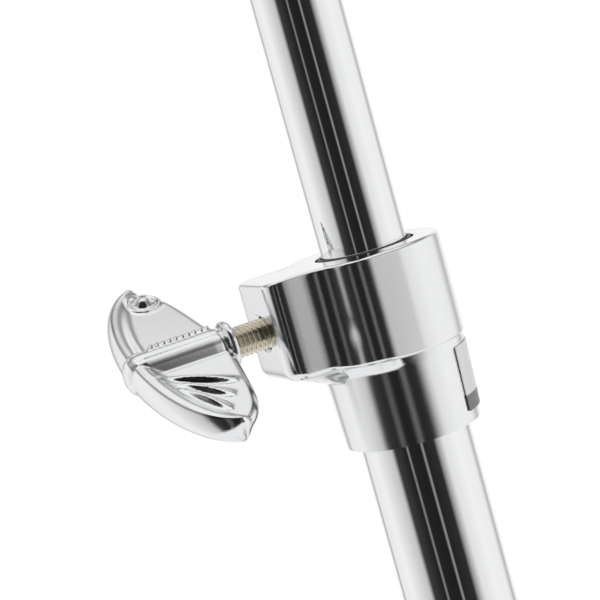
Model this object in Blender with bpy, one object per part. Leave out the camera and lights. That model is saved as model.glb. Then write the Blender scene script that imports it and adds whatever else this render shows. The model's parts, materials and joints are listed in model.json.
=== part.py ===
"""Hi-hat stand: a tripod, a pedal that pulls a rod by a chain, and a telescopic tube locked by a cast collar.

Metres, +Z up. The origin is on the floor under the tube, the pedal points along -Y and the height wing bolt
along -X. Run it with blender --background --python part.py, or from the text editor.
"""

import math

import bmesh
import bpy
from mathutils import Matrix, Vector

# General clearances between metal pieces
FIT = 0.0003
PIN_FIT = 0.0003

# Tubes and rods
LOWER_TUBE_R = 0.0143
UPPER_TUBE_R = 0.0111
TUBE_WALL = 0.0012
LOWER_TUBE_Z = 0.1703
UPPER_TUBE_LENGTH = 0.420
UPPER_TUBE_TOP_Z = 0.860
UPPER_ROD_R = 0.0032
LOWER_ROD_R = 0.0040

# Height collar: a cast sleeve over the lower tube with a boss for the wing bolt
COLLAR_Z = 0.570
COLLAR_HEIGHT = 0.0484
COLLAR_HEAD_Z = 0.0234
COLLAR_HEAD_R = 0.0191
SLEEVE_TOP_R = 0.0183
SLEEVE_BOTTOM_R = 0.0176
SLEEVE_DEPTH = 0.0270
BOSS_REACH = 0.0322
BOSS_HALF_WIDTH = 0.0115
BOSS_CORNER_R = 0.0030
BOSS_UNDERSIDE_SLOPE = 0.50
EDGE_R = 0.0009
BOLT_Z = 0.0359
BUSHING_R = 0.0147
BUSHING_LIP = 0.0010

# Wing bolts, the same part at the height collar and at the leg collar
THREAD_R = 0.0040
THREAD_FIT = 0.0003
WING_HUB_R = 0.0052
WING_HUB_LENGTH = 0.0278
WING_FLANGE_R = 0.0063
WING_HALF_SPAN = 0.0352
WING_ROOT_HALF_THICK = 0.0044
WING_TIP_HALF_THICK = 0.0026
WING_TURN = math.radians(65.4)
WING_STAND_OFF = 0.0082

# Tripod
LEG_AZIMUTHS = (math.radians(90), math.radians(210), math.radians(330))
LEG_TILT = math.radians(34)
PIVOT_RADIUS = 0.0300
LOWER_PIVOT_Z = 0.2190
UPPER_PIVOT_Z = 0.4400
LEG_WIDTH = 0.0160
LEG_WALL = 0.0016
LEG_HALF_DEPTH = 0.0076
STRUT_WALL = 0.0015
STRUT_HALF_DEPTH = 0.0050
RIVET_R = 0.0025
RIVET_HEAD_R = 0.0042
RIVET_HEAD_THICK = 0.0016
FOOT_R = 0.0125
FOOT_LENGTH = 0.0460
LEG_COLLAR_R = 0.0192
LEG_COLLAR_HALF_HEIGHT = 0.0135
LOWER_COLLAR_HALF_HEIGHT = 0.0110
LUG_R = 0.0054
LEG_WING_AZIMUTH = math.radians(150)
LEG_BOSS_REACH = 0.0300
LEG_BOSS_R = 0.0085

# Base frame: a cast stirrup that stands on the floor and holds the lower tube
FRAME_HALF_WIDTH = 0.0460
FRAME_WALL = 0.0100
FRAME_HALF_DEPTH = 0.0110
FRAME_BAR = 0.0080
FRAME_SHOULDER_Z = 0.0750
FRAME_ARCH_Z = 0.1600
FRAME_SOCKET_TOP_Z = 0.2060
FRAME_SOCKET_R = 0.0200
FRAME_THREAD_R = 0.0105
FRAME_SHELF_Z = 0.1700

# Spring and its tension dial
DIAL_R = 0.0170
DIAL_Z = 0.1485
DIAL_THICK = 0.0100
DIAL_SLEEVE_R = 0.0100
DIAL_BORE_R = 0.0075
DIAL_SLEEVE_TOP_Z = 0.2050
DIAL_NOTCHES = 20
SPRING_SEAT_THICK = 0.0030
ROD_COLLAR_Z = 0.3200
ROD_COLLAR_THICK = 0.0060
SPRING_RADIUS = 0.0090
SPRING_WIRE_R = 0.0012
SPRING_TURNS = 10

# Pedal
HEEL_PIN_Y = -0.2620
HEEL_PIN_Z = 0.0300
HEEL_PIN_R = 0.0030
TOE_PIN_Z = 0.0820
BOARD_THICK = 0.0040
BOARD_DROP = 0.0112
BOARD_HEEL_HALF_WIDTH = 0.0320
BOARD_HALF_WIDTH = 0.0410
BOARD_TOE_HALF_WIDTH = 0.0290
BOARD_SLOTS = 5
BOARD_SLOT_HALF_LENGTH = 0.0200
BOARD_SLOT_HALF_WIDTH = 0.0035
KNUCKLE_R = 0.0062
HEEL_PLATE_LENGTH = 0.0900
HEEL_PLATE_HALF_WIDTH = 0.0470
HEEL_PLATE_HEIGHT = 0.0200
HEEL_LUG_THICK = 0.0080
RADIUS_ROD_R = 0.0030
RADIUS_ROD_Z = 0.0135
RADIUS_ROD_SOCKET = 0.0080

# Chain of roller links from the rod's yoke to the toe
CHAIN_PITCH = 0.0127
CHAIN_LINKS = 4
LINK_END_R = 0.0048
LINK_PLATE = 0.0012
ROLLER_R = 0.0038
ROLLER_BORE_R = 0.0022
CHAIN_PIN_R = 0.0018
INNER_PLATE_Y = 0.0022
OUTER_PLATE_Y = 0.0040
TOE_HOLE_R = 0.0033
YOKE_HALF_WIDTH = 0.0072
YOKE_TOP = 0.0150
YOKE_BORE = 0.0075

# Seat for the bottom cymbal
SEAT_HOLDER_R = 0.0140
SEAT_HOLDER_HEIGHT = 0.0170
SEAT_PLUG_DEPTH = 0.0200
SEAT_CUP_R = 0.0260
SEAT_CUP_THICK = 0.0070
SEAT_FELT_R = 0.0210
SEAT_FELT_THICK = 0.0070
ROD_HOLE_R = 0.0042
TILT_SCREW_R = 0.0025
TILT_SCREW_X = 0.0170
SEAT_HINGE_X = -0.0185
SEAT_HINGE_R = 0.0012
SEAT_HINGE_LUG = 0.0026

# Clutch that holds the top cymbal on the rod
ROD_TOP_Z = 1.1600
CLUTCH_Z = 1.0100
CLUTCH_TUBE_R = 0.0060
CLUTCH_NUT_R = 0.0140
CLUTCH_NUT_THICK = 0.0110
CLUTCH_FELT_R = 0.0170
CLUTCH_FELT_THICK = 0.0080
CLUTCH_LOCK_R = 0.0120
CLUTCH_LOCK_THICK = 0.0070
CLUTCH_HEAD_R = 0.0095
CLUTCH_HEAD_HEIGHT = 0.0280
CLUTCH_BOSS_REACH = 0.0150
CLUTCH_BOLT_R = 0.0030

# A shape drawn in XY and extruded along Z, stood up so that it is extruded along X
ACROSS_X = Matrix(((0, 0, 1, 0), (1, 0, 0, 0), (0, 1, 0, 0), (0, 0, 0, 1)))

MERGE = 1e-6
ROUND = 24
SMALL_ROUND = 14
PIN_ROUND = 10


def clear_scene():
    """Empties the scene of the objects it opened with."""
    for obj in list(bpy.data.objects):
        bpy.data.objects.remove(obj)


def material(name, colour, roughness, metallic):
    """A Principled material with one colour."""
    made = bpy.data.materials.new(name)
    made.use_nodes = True
    shader = made.node_tree.nodes["Principled BSDF"]
    shader.inputs["Base Color"].default_value = (*colour, 1.0)
    shader.inputs["Roughness"].default_value = roughness
    shader.inputs["Metallic"].default_value = metallic
    return made


def joint_frame(name, location, rotation=None, parent=None):
    """An empty on a joint's axis, which carries what turns or slides there."""
    frame = bpy.data.objects.new(name, None)
    bpy.context.scene.collection.objects.link(frame)
    frame.parent = parent
    frame.matrix_local = Matrix.Translation(location) @ (rotation or Matrix.Identity(4))
    return frame


def add(name, bm, finish, parent=None, place=None):
    """Makes the bmesh an object with outward faces and smooth round sides."""
    bmesh.ops.remove_doubles(bm, verts=bm.verts, dist=MERGE)
    bmesh.ops.recalc_face_normals(bm, faces=bm.faces)
    mesh = bpy.data.meshes.new(name)
    bm.to_mesh(mesh)
    bm.free()
    mesh.materials.append(finish)
    mesh.shade_smooth()
    mesh.set_sharp_from_angle(angle=math.radians(35))
    obj = bpy.data.objects.new(name, mesh)
    bpy.context.scene.collection.objects.link(obj)
    obj.parent = parent
    if place:
        obj.matrix_local = place
    return obj


def combine(obj, helper, operation):
    """Cuts the helper from the object, or joins it on, and hides the helper."""
    step = obj.modifiers.new(helper.name, "BOOLEAN")
    step.operation = operation
    step.object = helper
    step.solver = "EXACT"
    helper.hide_render = True
    helper.display_type = "WIRE"


def cut(obj, name, bm, place=None):
    """Cuts a shape, given in the object's own parent frame, out of the object."""
    combine(obj, add(name, bm, obj.data.materials[0], obj.parent, place), "DIFFERENCE")


def join(obj, name, bm, place=None):
    """Joins a shape, given in the object's own parent frame, to the object."""
    combine(obj, add(name, bm, obj.data.materials[0], obj.parent, place), "UNION")


def turn(angle, axis):
    return Matrix.Rotation(angle, 4, axis)


def move(x, y, z):
    return Matrix.Translation((x, y, z))


def revolve(profile, sides=ROUND):
    """Turns a closed loop of (radius, height) points round Z."""
    bm = bmesh.new()
    verts = [bm.verts.new((r, 0.0, z)) for r, z in profile]
    edges = [bm.edges.new((a, b)) for a, b in zip(verts, verts[1:])]
    if profile[0][0] > MERGE or profile[-1][0] > MERGE:
        edges.append(bm.edges.new((verts[-1], verts[0])))
    bmesh.ops.spin(
        bm, geom=verts + edges, cent=(0, 0, 0), axis=(0, 0, 1), angle=math.tau, steps=sides, use_merge=True
    )
    return bm


def rod(radius, low, high, sides=SMALL_ROUND, chamfer=0.0):
    """A round bar along Z from low to high, with chamfered ends."""
    return revolve(
        [
            (0.0, high),
            (radius - chamfer, high),
            (radius, high - chamfer),
            (radius, low + chamfer),
            (radius - chamfer, low),
            (0.0, low),
        ],
        sides,
    )


def pipe(outer, inner, low, high, sides=ROUND, chamfer=0.0):
    """A round tube along Z, with its outer rims chamfered."""
    return revolve(
        [
            (inner, high),
            (outer - chamfer, high),
            (outer, high - chamfer),
            (outer, low + chamfer),
            (outer - chamfer, low),
            (inner, low),
        ],
        sides,
    )


def box(low, high):
    """A block between two corners."""
    bm = bmesh.new()
    bmesh.ops.create_cube(bm, size=1.0)
    for vert in bm.verts:
        vert.co = Vector(
            [a + (c + 0.5) * (b - a) for a, b, c in zip(low, high, vert.co)]
        )
    return bm


def filleted(corners, radius, steps=4):
    """The outline through the corners, each rounded by an arc of the radius."""
    points = []
    count = len(corners)
    for i, corner in enumerate(corners):
        here = Vector(corner)
        before = (Vector(corners[i - 1]) - here).normalized()
        after = (Vector(corners[(i + 1) % count]) - here).normalized()
        half = before.angle(after) / 2
        back = radius / math.tan(half)
        centre = here + (before + after).normalized() * (radius / math.sin(half))
        start = here + before * back - centre
        sweep = start.angle_signed(here + after * back - centre)
        for k in range(steps + 1):
            swing = Matrix.Rotation(-sweep * k / steps, 2)
            points.append(centre + swing @ start)
    return points


def stadium(length, radius, steps=6):
    """A slot outline with round ends, centred on the origin along X."""
    points = []
    for k in range(steps + 1):
        angle = math.pi * k / steps - math.pi / 2
        points.append(Vector((length / 2 + radius * math.cos(angle), radius * math.sin(angle))))
    for k in range(steps + 1):
        angle = math.pi * k / steps + math.pi / 2
        points.append(Vector((-length / 2 + radius * math.cos(angle), radius * math.sin(angle))))
    return points


def prism(outline, low, high):
    """Extrudes an outline in XY from low to high along Z."""
    bm = bmesh.new()
    face = bm.faces.new([bm.verts.new((p[0], p[1], low)) for p in outline])
    grown = bmesh.ops.extrude_face_region(bm, geom=[face])
    lifted = [v for v in grown["geom"] if isinstance(v, bmesh.types.BMVert)]
    bmesh.ops.translate(bm, vec=(0, 0, high - low), verts=lifted)
    return bm


def loft(rings, closed=False):
    """Joins rings of points, each as long as the next, and caps the ends or closes the loop."""
    bm = bmesh.new()
    rows = [[bm.verts.new(p) for p in ring] for ring in rings]
    pairs = list(zip(rows, rows[1:]))
    if closed:
        pairs.append((rows[-1], rows[0]))
    else:
        bm.faces.new(rows[0])
        bm.faces.new(rows[-1])
    for one, other in pairs:
        for k in range(len(one)):
            j = (k + 1) % len(one)
            bm.faces.new((one[k], one[j], other[j], other[k]))
    return bm


def knurled(radius, thickness, notches, depth):
    """A disc with a notched rim, standing on Z 0."""
    outline = []
    for k in range(notches * 2):
        angle = math.tau * k / (notches * 2)
        reach = radius - (depth if k % 2 else 0.0)
        outline.append((reach * math.cos(angle), reach * math.sin(angle)))
    return prism(outline, 0.0, thickness)


# Height collar


def head_reach(angle):
    """Distance from the tube's axis to the collar head's outline: a circle run out to a square boss on -X."""
    direction = Vector((math.cos(angle), math.sin(angle)))
    furthest = COLLAR_HEAD_R
    if direction.x < 0:
        flat = BOSS_REACH / -direction.x
        if abs(flat * direction.y) <= BOSS_HALF_WIDTH - BOSS_CORNER_R:
            furthest = flat
    for side in (1, -1):
        centre = Vector((BOSS_CORNER_R - BOSS_REACH, side * (BOSS_HALF_WIDTH - BOSS_CORNER_R)))
        along = direction.dot(centre)
        off = centre.length_squared - along * along
        if along > 0 and off < BOSS_CORNER_R**2:
            furthest = max(furthest, along + math.sqrt(BOSS_CORNER_R**2 - off))
        # The straight flank that touches both the circle and the boss's round corner
        lean = math.acos((COLLAR_HEAD_R - BOSS_CORNER_R) / centre.length)
        normal_angle = math.atan2(centre.y, centre.x) - side * lean
        normal = Vector((math.cos(normal_angle), math.sin(normal_angle)))
        start = normal * COLLAR_HEAD_R
        end = centre + normal * BOSS_CORNER_R
        facing = direction.dot(normal)
        if facing > 0.05:
            hit = direction * (COLLAR_HEAD_R / facing)
            share = (hit - start).dot(end - start) / (end - start).length_squared
            if 0 <= share <= 1:
                furthest = max(furthest, hit.length)
    return furthest


def collar_angles():
    """Directions round the collar, closer together where the boss turns its corners."""
    corner = math.atan2(BOSS_HALF_WIDTH, BOSS_REACH)
    fine = [math.pi + corner * k / 6 for k in range(-8, 9)]
    coarse = [math.tau * k / 28 for k in range(-8, 9)]
    gap = math.pi - corner * 8 / 6
    start = math.tau * 8 / 28
    between = [s * (start + (gap - start) * k / 3) for s in (-1, 1) for k in range(1, 3)]
    return sorted({round(a % math.tau, 9) for a in fine + coarse + between})


def height_collar(chrome):
    """The cast collar: drafted sleeve, teardrop head and the slope under the boss."""
    angles = collar_angles()
    reach = [head_reach(a) for a in angles]

    def ring(radii, heights):
        return [(r * math.cos(a), r * math.sin(a), h) for a, r, h in zip(angles, radii, heights)]

    def level(radius, height):
        return ring([radius] * len(angles), [height] * len(angles))

    tube_bore = LOWER_TUBE_R + FIT
    bush_bore = BUSHING_R + FIT
    drop = [max(EDGE_R, (r - SLEEVE_TOP_R) * BOSS_UNDERSIDE_SLOPE + EDGE_R) for r in reach]
    rings = [
        level(tube_bore, 0.0),
        level(SLEEVE_BOTTOM_R - EDGE_R, 0.0),
        level(SLEEVE_BOTTOM_R, EDGE_R),
        ring([SLEEVE_TOP_R] * len(angles), [COLLAR_HEAD_Z - d for d in drop]),
        ring([r - EDGE_R for r in reach], [COLLAR_HEAD_Z - EDGE_R] * len(angles)),
        ring(reach, [COLLAR_HEAD_Z + EDGE_R * 0.6] * len(angles)),
        ring(reach, [COLLAR_HEIGHT - EDGE_R] * len(angles)),
        ring([r - EDGE_R for r in reach], [COLLAR_HEIGHT] * len(angles)),
        level(bush_bore, COLLAR_HEIGHT),
        level(bush_bore, SLEEVE_DEPTH),
        level(tube_bore, SLEEVE_DEPTH),
    ]
    collar = add("height_collar", loft(rings, closed=True), chrome, place=move(0, 0, COLLAR_Z))
    bolt_hole = rod(THREAD_R + THREAD_FIT, -BOSS_REACH - 0.01, -UPPER_TUBE_R, SMALL_ROUND)
    cut(collar, "cut_height_bolt_hole", bolt_hole, move(0, 0, COLLAR_Z + BOLT_Z) @ turn(math.pi / 2, "Y"))
    return collar


def height_bushing(nylon):
    """The nylon sleeve that guides the upper tube inside the collar, open at the wing bolt for its shoe."""
    low = SLEEVE_DEPTH + FIT
    bush = add(
        "height_bushing",
        revolve(
            [
                (UPPER_TUBE_R + FIT, COLLAR_HEIGHT + BUSHING_LIP),
                (UPPER_TUBE_R + FIT + 0.0012, COLLAR_HEIGHT + BUSHING_LIP),
                (UPPER_TUBE_R + FIT + 0.0022, COLLAR_HEIGHT - BUSHING_LIP),
                (BUSHING_R, COLLAR_HEIGHT - BUSHING_LIP - 0.0008),
                (BUSHING_R, low),
                (UPPER_TUBE_R + FIT, low),
            ]
        ),
        nylon,
        place=move(0, 0, COLLAR_Z),
    )
    window = rod(THREAD_R + THREAD_FIT, -BUSHING_R - 0.004, -UPPER_TUBE_R + 0.004, SMALL_ROUND)
    cut(bush, "cut_bushing_window", window, move(0, 0, COLLAR_Z + BOLT_Z) @ turn(math.pi / 2, "Y"))
    return bush


def superellipse(half_a, half_t, points=10, power=4.5):
    """A rounded rectangle, as (along, thickness) pairs."""
    ring = []
    for k in range(points):
        angle = math.tau * (k + 0.5) / points
        c, s = math.cos(angle), math.sin(angle)
        ring.append(
            (
                half_a * math.copysign(abs(c) ** (2 / power), c),
                half_t * math.copysign(abs(s) ** (2 / power), s),
            )
        )
    return ring


def wing_blade(length, half_span, root, tip, stations=15):
    """The two wings as one loft across the hub, thin at the tips.

    The bolt's axis is +Z, away from the clamp, and the wings spread along X. The back is one broad bow, and the
    edge by the clamp runs out straight and turns up to meet it at the tip.
    """
    rings = []
    for k in range(stations):
        share = math.sin(math.pi / 2 * (2 * k / (stations - 1) - 1)) * 0.9995
        out = abs(share)
        back = length * (0.450 + 0.550 * math.sqrt(1 - share**2))
        front = length * (0.036 + 0.198 * out + 0.216 * out**8)
        half_thick = (root + (tip - root) * out) * math.sqrt(1 - 0.75 * out**12)
        middle, half = (back + front) / 2, (back - front) / 2
        rings.append([(share * half_span, t, middle + a) for a, t in superellipse(half, half_thick)])
    return loft(rings)


def wing_hub(length, radius, flange):
    """The barrel of the wing, with its flange at the bolt and a domed back."""
    return revolve(
        [
            (0.0, length * 1.03),
            (radius * 0.55, length * 1.01),
            (radius * 0.95, length * 0.95),
            (radius, length * 0.86),
            (radius, length * 0.09),
            (flange, length * 0.06),
            (flange, 0.0003),
            (flange * 0.85, 0.0),
            (0.0, 0.0),
        ],
        SMALL_ROUND + 4,
    )


def grip_rib(start, end, side, root, tip, half_span, radius):
    """One raised rib along a wing's face, from near the hub out to the tip."""
    bm = bmesh.new()
    bmesh.ops.create_uvsphere(bm, u_segments=6, v_segments=5, radius=1.0)
    start, end = Vector(start), Vector(end)
    along = end - start
    middle = (start + end) / 2
    share = abs(middle.x) / half_span
    surface = (root + (tip - root) * share) * side
    lean = math.atan2(along.x, along.y)
    draft = math.atan((root - tip) / half_span) * side
    place = (
        Matrix.Translation((middle.x, surface * 0.97, middle.y))
        @ turn(-draft * math.copysign(1, middle.x), "Z")
        @ turn(lean, "Y")
        @ Matrix.Diagonal((radius, radius * 0.75, along.length / 2, 1.0))
    )
    bmesh.ops.transform(bm, matrix=place, verts=bm.verts)
    return bm


def wing_handle(name, chrome, parent, length, half_span, hub, flange, root, tip, detailed=True):
    """A die-cast wing: barrel, two wings, three ribs on one face of each wing and a round button on the other."""
    wing = add(name, wing_hub(length, hub, flange), chrome, parent)
    join(wing, name + "_blade", wing_blade(length, half_span, root, tip))
    if not detailed:
        return wing
    for side in (1, -1):
        for k in range(3):
            rib_root = (side * half_span * (0.34 + 0.10 * k), length * (0.80 - 0.10 * k))
            rib_tip = (side * half_span * (0.66 + 0.10 * k), length * (0.28 + 0.05 * k))
            rib = grip_rib(rib_root, rib_tip, side, root, tip, half_span, hub * 0.30)
            join(wing, f"{name}_rib_{side + 2}_{k}", rib)
        share = 0.80
        surface = root + (tip - root) * share
        button = rod(hub * 0.52, surface * 0.4, surface + 0.0011, PIN_ROUND, 0.0004)
        place = move(side * half_span * share, 0, length * 0.42) @ turn(math.pi / 2 * side, "X")
        join(wing, f"{name}_button_{side + 2}", button, place)
    return wing


def wing_bolt(prefix, chrome, steel, frame, reach, tip_reach):
    """A wing and the threaded stud pressed into it. The frame's +Z points away from the clamp."""
    stud_end = -(reach + WING_STAND_OFF - tip_reach)
    holder = joint_frame(prefix + "_wing_seat", (0, 0, WING_STAND_OFF), turn(WING_TURN, "Z"), frame)
    wing = wing_handle(
        prefix + "_wing",
        chrome,
        holder,
        WING_HUB_LENGTH,
        WING_HALF_SPAN,
        WING_HUB_R,
        WING_FLANGE_R,
        WING_ROOT_HALF_THICK,
        WING_TIP_HALF_THICK,
    )
    stud_depth = 0.0120
    cut(wing, f"cut_{prefix}_stud_socket", rod(THREAD_R + FIT, -0.002, stud_depth + FIT, SMALL_ROUND))
    add(prefix + "_stud", rod(THREAD_R, stud_end, stud_depth, SMALL_ROUND, 0.0006), steel, holder)
    return wing


def pressure_shoe(name, brass, reach, place):
    """The small pad between the stud's end and the tube."""
    return add(name, rod(THREAD_R - FIT, reach[0], reach[1], SMALL_ROUND, 0.0002), brass, place=place)


# Tubes


def tubes(chrome, height_frame):
    """The outer tube in the base frame and the inner tube that slides in it."""
    top = COLLAR_Z + SLEEVE_DEPTH - FIT
    add("lower_tube", pipe(LOWER_TUBE_R, LOWER_TUBE_R - TUBE_WALL, LOWER_TUBE_Z, top), chrome)
    upper = pipe(UPPER_TUBE_R, UPPER_TUBE_R - TUBE_WALL, -UPPER_TUBE_LENGTH, 0.0)
    add("upper_tube", upper, chrome, height_frame)


# Tripod


def leg_pivot_span():
    """Half the distance from one pivot on the tube to the other, along a leg: struts are as long as this."""
    return (UPPER_PIVOT_Z - LOWER_PIVOT_Z) / 2 / math.cos(LEG_TILT)


def strut_width():
    return LEG_WIDTH - 2 * LEG_WALL - 2 * FIT


def channel(name, finish, parent, width, wall, half_depth, low, high, end_radius):
    """A pressed U channel along Z, open towards -X, its flanges round at the top end."""
    arc = [
        (end_radius * math.sin(a), high + end_radius * math.cos(a) - end_radius)
        for a in [math.pi * k / 8 - math.pi / 2 for k in range(9)]
    ]
    outline = [(-half_depth, low), *arc, (half_depth, low)]
    place = turn(math.pi / 2, "X")
    bar = add(name, prism([(x, z) for x, z in outline], -width / 2, width / 2), finish, parent, place)
    inner = width / 2 - wall
    hollow = box((-half_depth - 0.002, -inner, low - 0.01), (half_depth - wall, inner, high + 0.02))
    cut(bar, f"cut_{name}_hollow", hollow)
    return bar


def cross_hole(obj, name, radius, z, reach=0.02):
    """A hole along Y through a channel's flanges."""
    place = move(0, 0, z) @ turn(math.pi / 2, "X")
    cut(obj, name, rod(radius, -reach, reach, PIN_ROUND), place)


def rivet(name, finish, parent, z, half_grip):
    """A rivet across both flanges with a domed head each side."""
    top = half_grip + FIT + RIVET_HEAD_THICK
    profile = [
        (0.0, top),
        (RIVET_HEAD_R * 0.6, top - RIVET_HEAD_THICK * 0.25),
        (RIVET_HEAD_R, half_grip + FIT + RIVET_HEAD_THICK * 0.3),
        (RIVET_HEAD_R, half_grip + FIT),
        (RIVET_R, half_grip + FIT),
    ]
    mirrored = [(r, -z0) for r, z0 in reversed(profile)]
    return add(name, revolve(profile + mirrored, PIN_ROUND), finish, parent, move(0, 0, z) @ turn(math.pi / 2, "X"))


def leg_length():
    """From the upper pivot to the middle of the rubber foot's ball."""
    return (UPPER_PIVOT_Z - FOOT_R) / math.cos(LEG_TILT)


def rubber_foot(name, rubber, parent):
    """A boot over the leg's end, with a ball below and a pocket for the channel."""
    length = leg_length()
    steps = 6
    ball = [
        (FOOT_R * math.cos(a), -FOOT_R * math.sin(a))
        for a in [math.pi / 2 * k / steps for k in range(1, steps + 1)]
    ]
    ball[-1] = (0.0, -FOOT_R)
    profile = [
        (0.0, FOOT_LENGTH - FOOT_R),
        (FOOT_R * 0.98, FOOT_LENGTH - FOOT_R),
        (FOOT_R * 1.02, FOOT_LENGTH - FOOT_R - 0.003),
        (FOOT_R * 0.90, 0.012),
        (FOOT_R, 0.0),
        *ball,
    ]
    foot = add(name, revolve(profile, SMALL_ROUND), rubber, parent, move(0, 0, -length))
    pocket = box(
        (-LEG_HALF_DEPTH - FIT, -LEG_WIDTH / 2 - FIT, -length + 0.004),
        (LEG_HALF_DEPTH + FIT, LEG_WIDTH / 2 + FIT, -length + FOOT_LENGTH),
    )
    cut(foot, f"cut_{name}_pocket", pocket)
    return foot


def tripod_leg(number, azimuth, chrome, rubber, collar_frame):
    """One leg with its rivets and foot, and the strut that hangs from it."""
    tangent = turn(azimuth, "Z")
    pivot = joint_frame(
        f"leg_{number}_pivot",
        tangent @ Vector((PIVOT_RADIUS, 0, UPPER_PIVOT_Z - collar_frame.location.z)),
        tangent @ turn(-LEG_TILT, "Y"),
        collar_frame,
    )
    name = f"leg_{number}"
    end = -leg_length() + 0.0045
    leg = channel(name, chrome, pivot, LEG_WIDTH, LEG_WALL, LEG_HALF_DEPTH, end, LEG_HALF_DEPTH, LEG_HALF_DEPTH)
    span = leg_pivot_span()
    cross_hole(leg, f"cut_{name}_top_hole", RIVET_R + PIN_FIT, 0.0)
    cross_hole(leg, f"cut_{name}_strut_hole", RIVET_R + PIN_FIT, -span)
    rivet(f"leg_{number}_top_rivet", chrome, pivot, 0.0, LEG_WIDTH / 2)
    rivet(f"leg_{number}_strut_rivet", chrome, pivot, -span, LEG_WIDTH / 2)
    rubber_foot(f"foot_{number}", rubber, pivot)

    strut_frame = joint_frame(f"strut_{number}_pivot", (0, 0, -span), turn(2 * LEG_TILT, "Y"), pivot)
    name = f"strut_{number}"
    low = -span - STRUT_HALF_DEPTH
    depth = STRUT_HALF_DEPTH
    strut = channel(name, chrome, strut_frame, strut_width(), STRUT_WALL, depth, low, depth, depth)
    cross_hole(strut, f"cut_{name}_top_hole", RIVET_R + PIN_FIT, 0.0)
    cross_hole(strut, f"cut_{name}_end_hole", RIVET_R + PIN_FIT, -span)


def lugs(collar, prefix, centre_z, thickness, radius):
    """Three lugs out to the leg pivots, each with a round end."""
    for number, azimuth in enumerate(LEG_AZIMUTHS, 1):
        outline = [
            (PIVOT_RADIUS + radius * math.sin(a), radius * math.cos(a))
            for a in [math.pi * k / 8 for k in range(9)]
        ]
        outline += [(LOWER_TUBE_R + 0.002, -radius), (LOWER_TUBE_R + 0.002, radius)]
        place = move(0, 0, centre_z) @ turn(azimuth, "Z") @ turn(math.pi / 2, "X")
        join(collar, f"{prefix}_lug_{number}", prism(outline, -thickness / 2, thickness / 2), place)


def leg_collar(chrome, frame):
    """The sliding casting that the legs hang from, with a boss for its wing bolt."""
    half = LEG_COLLAR_HALF_HEIGHT
    shape = pipe(LEG_COLLAR_R, LOWER_TUBE_R + FIT, -half, half, ROUND, EDGE_R)
    collar = add("leg_collar", shape, chrome, frame)
    lugs(collar, "leg_collar", 0.0, LEG_WIDTH - 2 * LEG_WALL - 2 * FIT, LUG_R)
    for number, azimuth in enumerate(LEG_AZIMUTHS, 1):
        hole = rod(RIVET_R + PIN_FIT, -0.02, 0.02, PIN_ROUND)
        place = turn(azimuth, "Z") @ move(PIVOT_RADIUS, 0, 0) @ turn(math.pi / 2, "X")
        cut(collar, f"cut_leg_collar_pin_{number}", hole, place)
    facing = turn(LEG_WING_AZIMUTH, "Z") @ turn(math.pi / 2, "Y")
    join(collar, "leg_collar_boss", rod(LEG_BOSS_R, LOWER_TUBE_R + 0.002, LEG_BOSS_REACH, SMALL_ROUND, EDGE_R), facing)
    hole = rod(THREAD_R + THREAD_FIT, 0.0, LEG_BOSS_REACH + 0.01, SMALL_ROUND)
    cut(collar, "cut_leg_collar_bolt_hole", hole, facing)


def lower_collar(chrome):
    """The fixed casting at the foot of the tube that the struts close on. Its pivot pins are cast with its lugs."""
    half = LOWER_COLLAR_HALF_HEIGHT
    shape = pipe(LEG_COLLAR_R, LOWER_TUBE_R + FIT, -half, half, ROUND, EDGE_R)
    collar = add("lower_collar", shape, chrome, place=move(0, 0, LOWER_PIVOT_Z))
    thickness = strut_width() - 2 * STRUT_WALL - 2 * FIT
    lugs(collar, "lower_collar", LOWER_PIVOT_Z, thickness, STRUT_HALF_DEPTH - STRUT_WALL - FIT)


# Base frame, dial and spring


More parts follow.
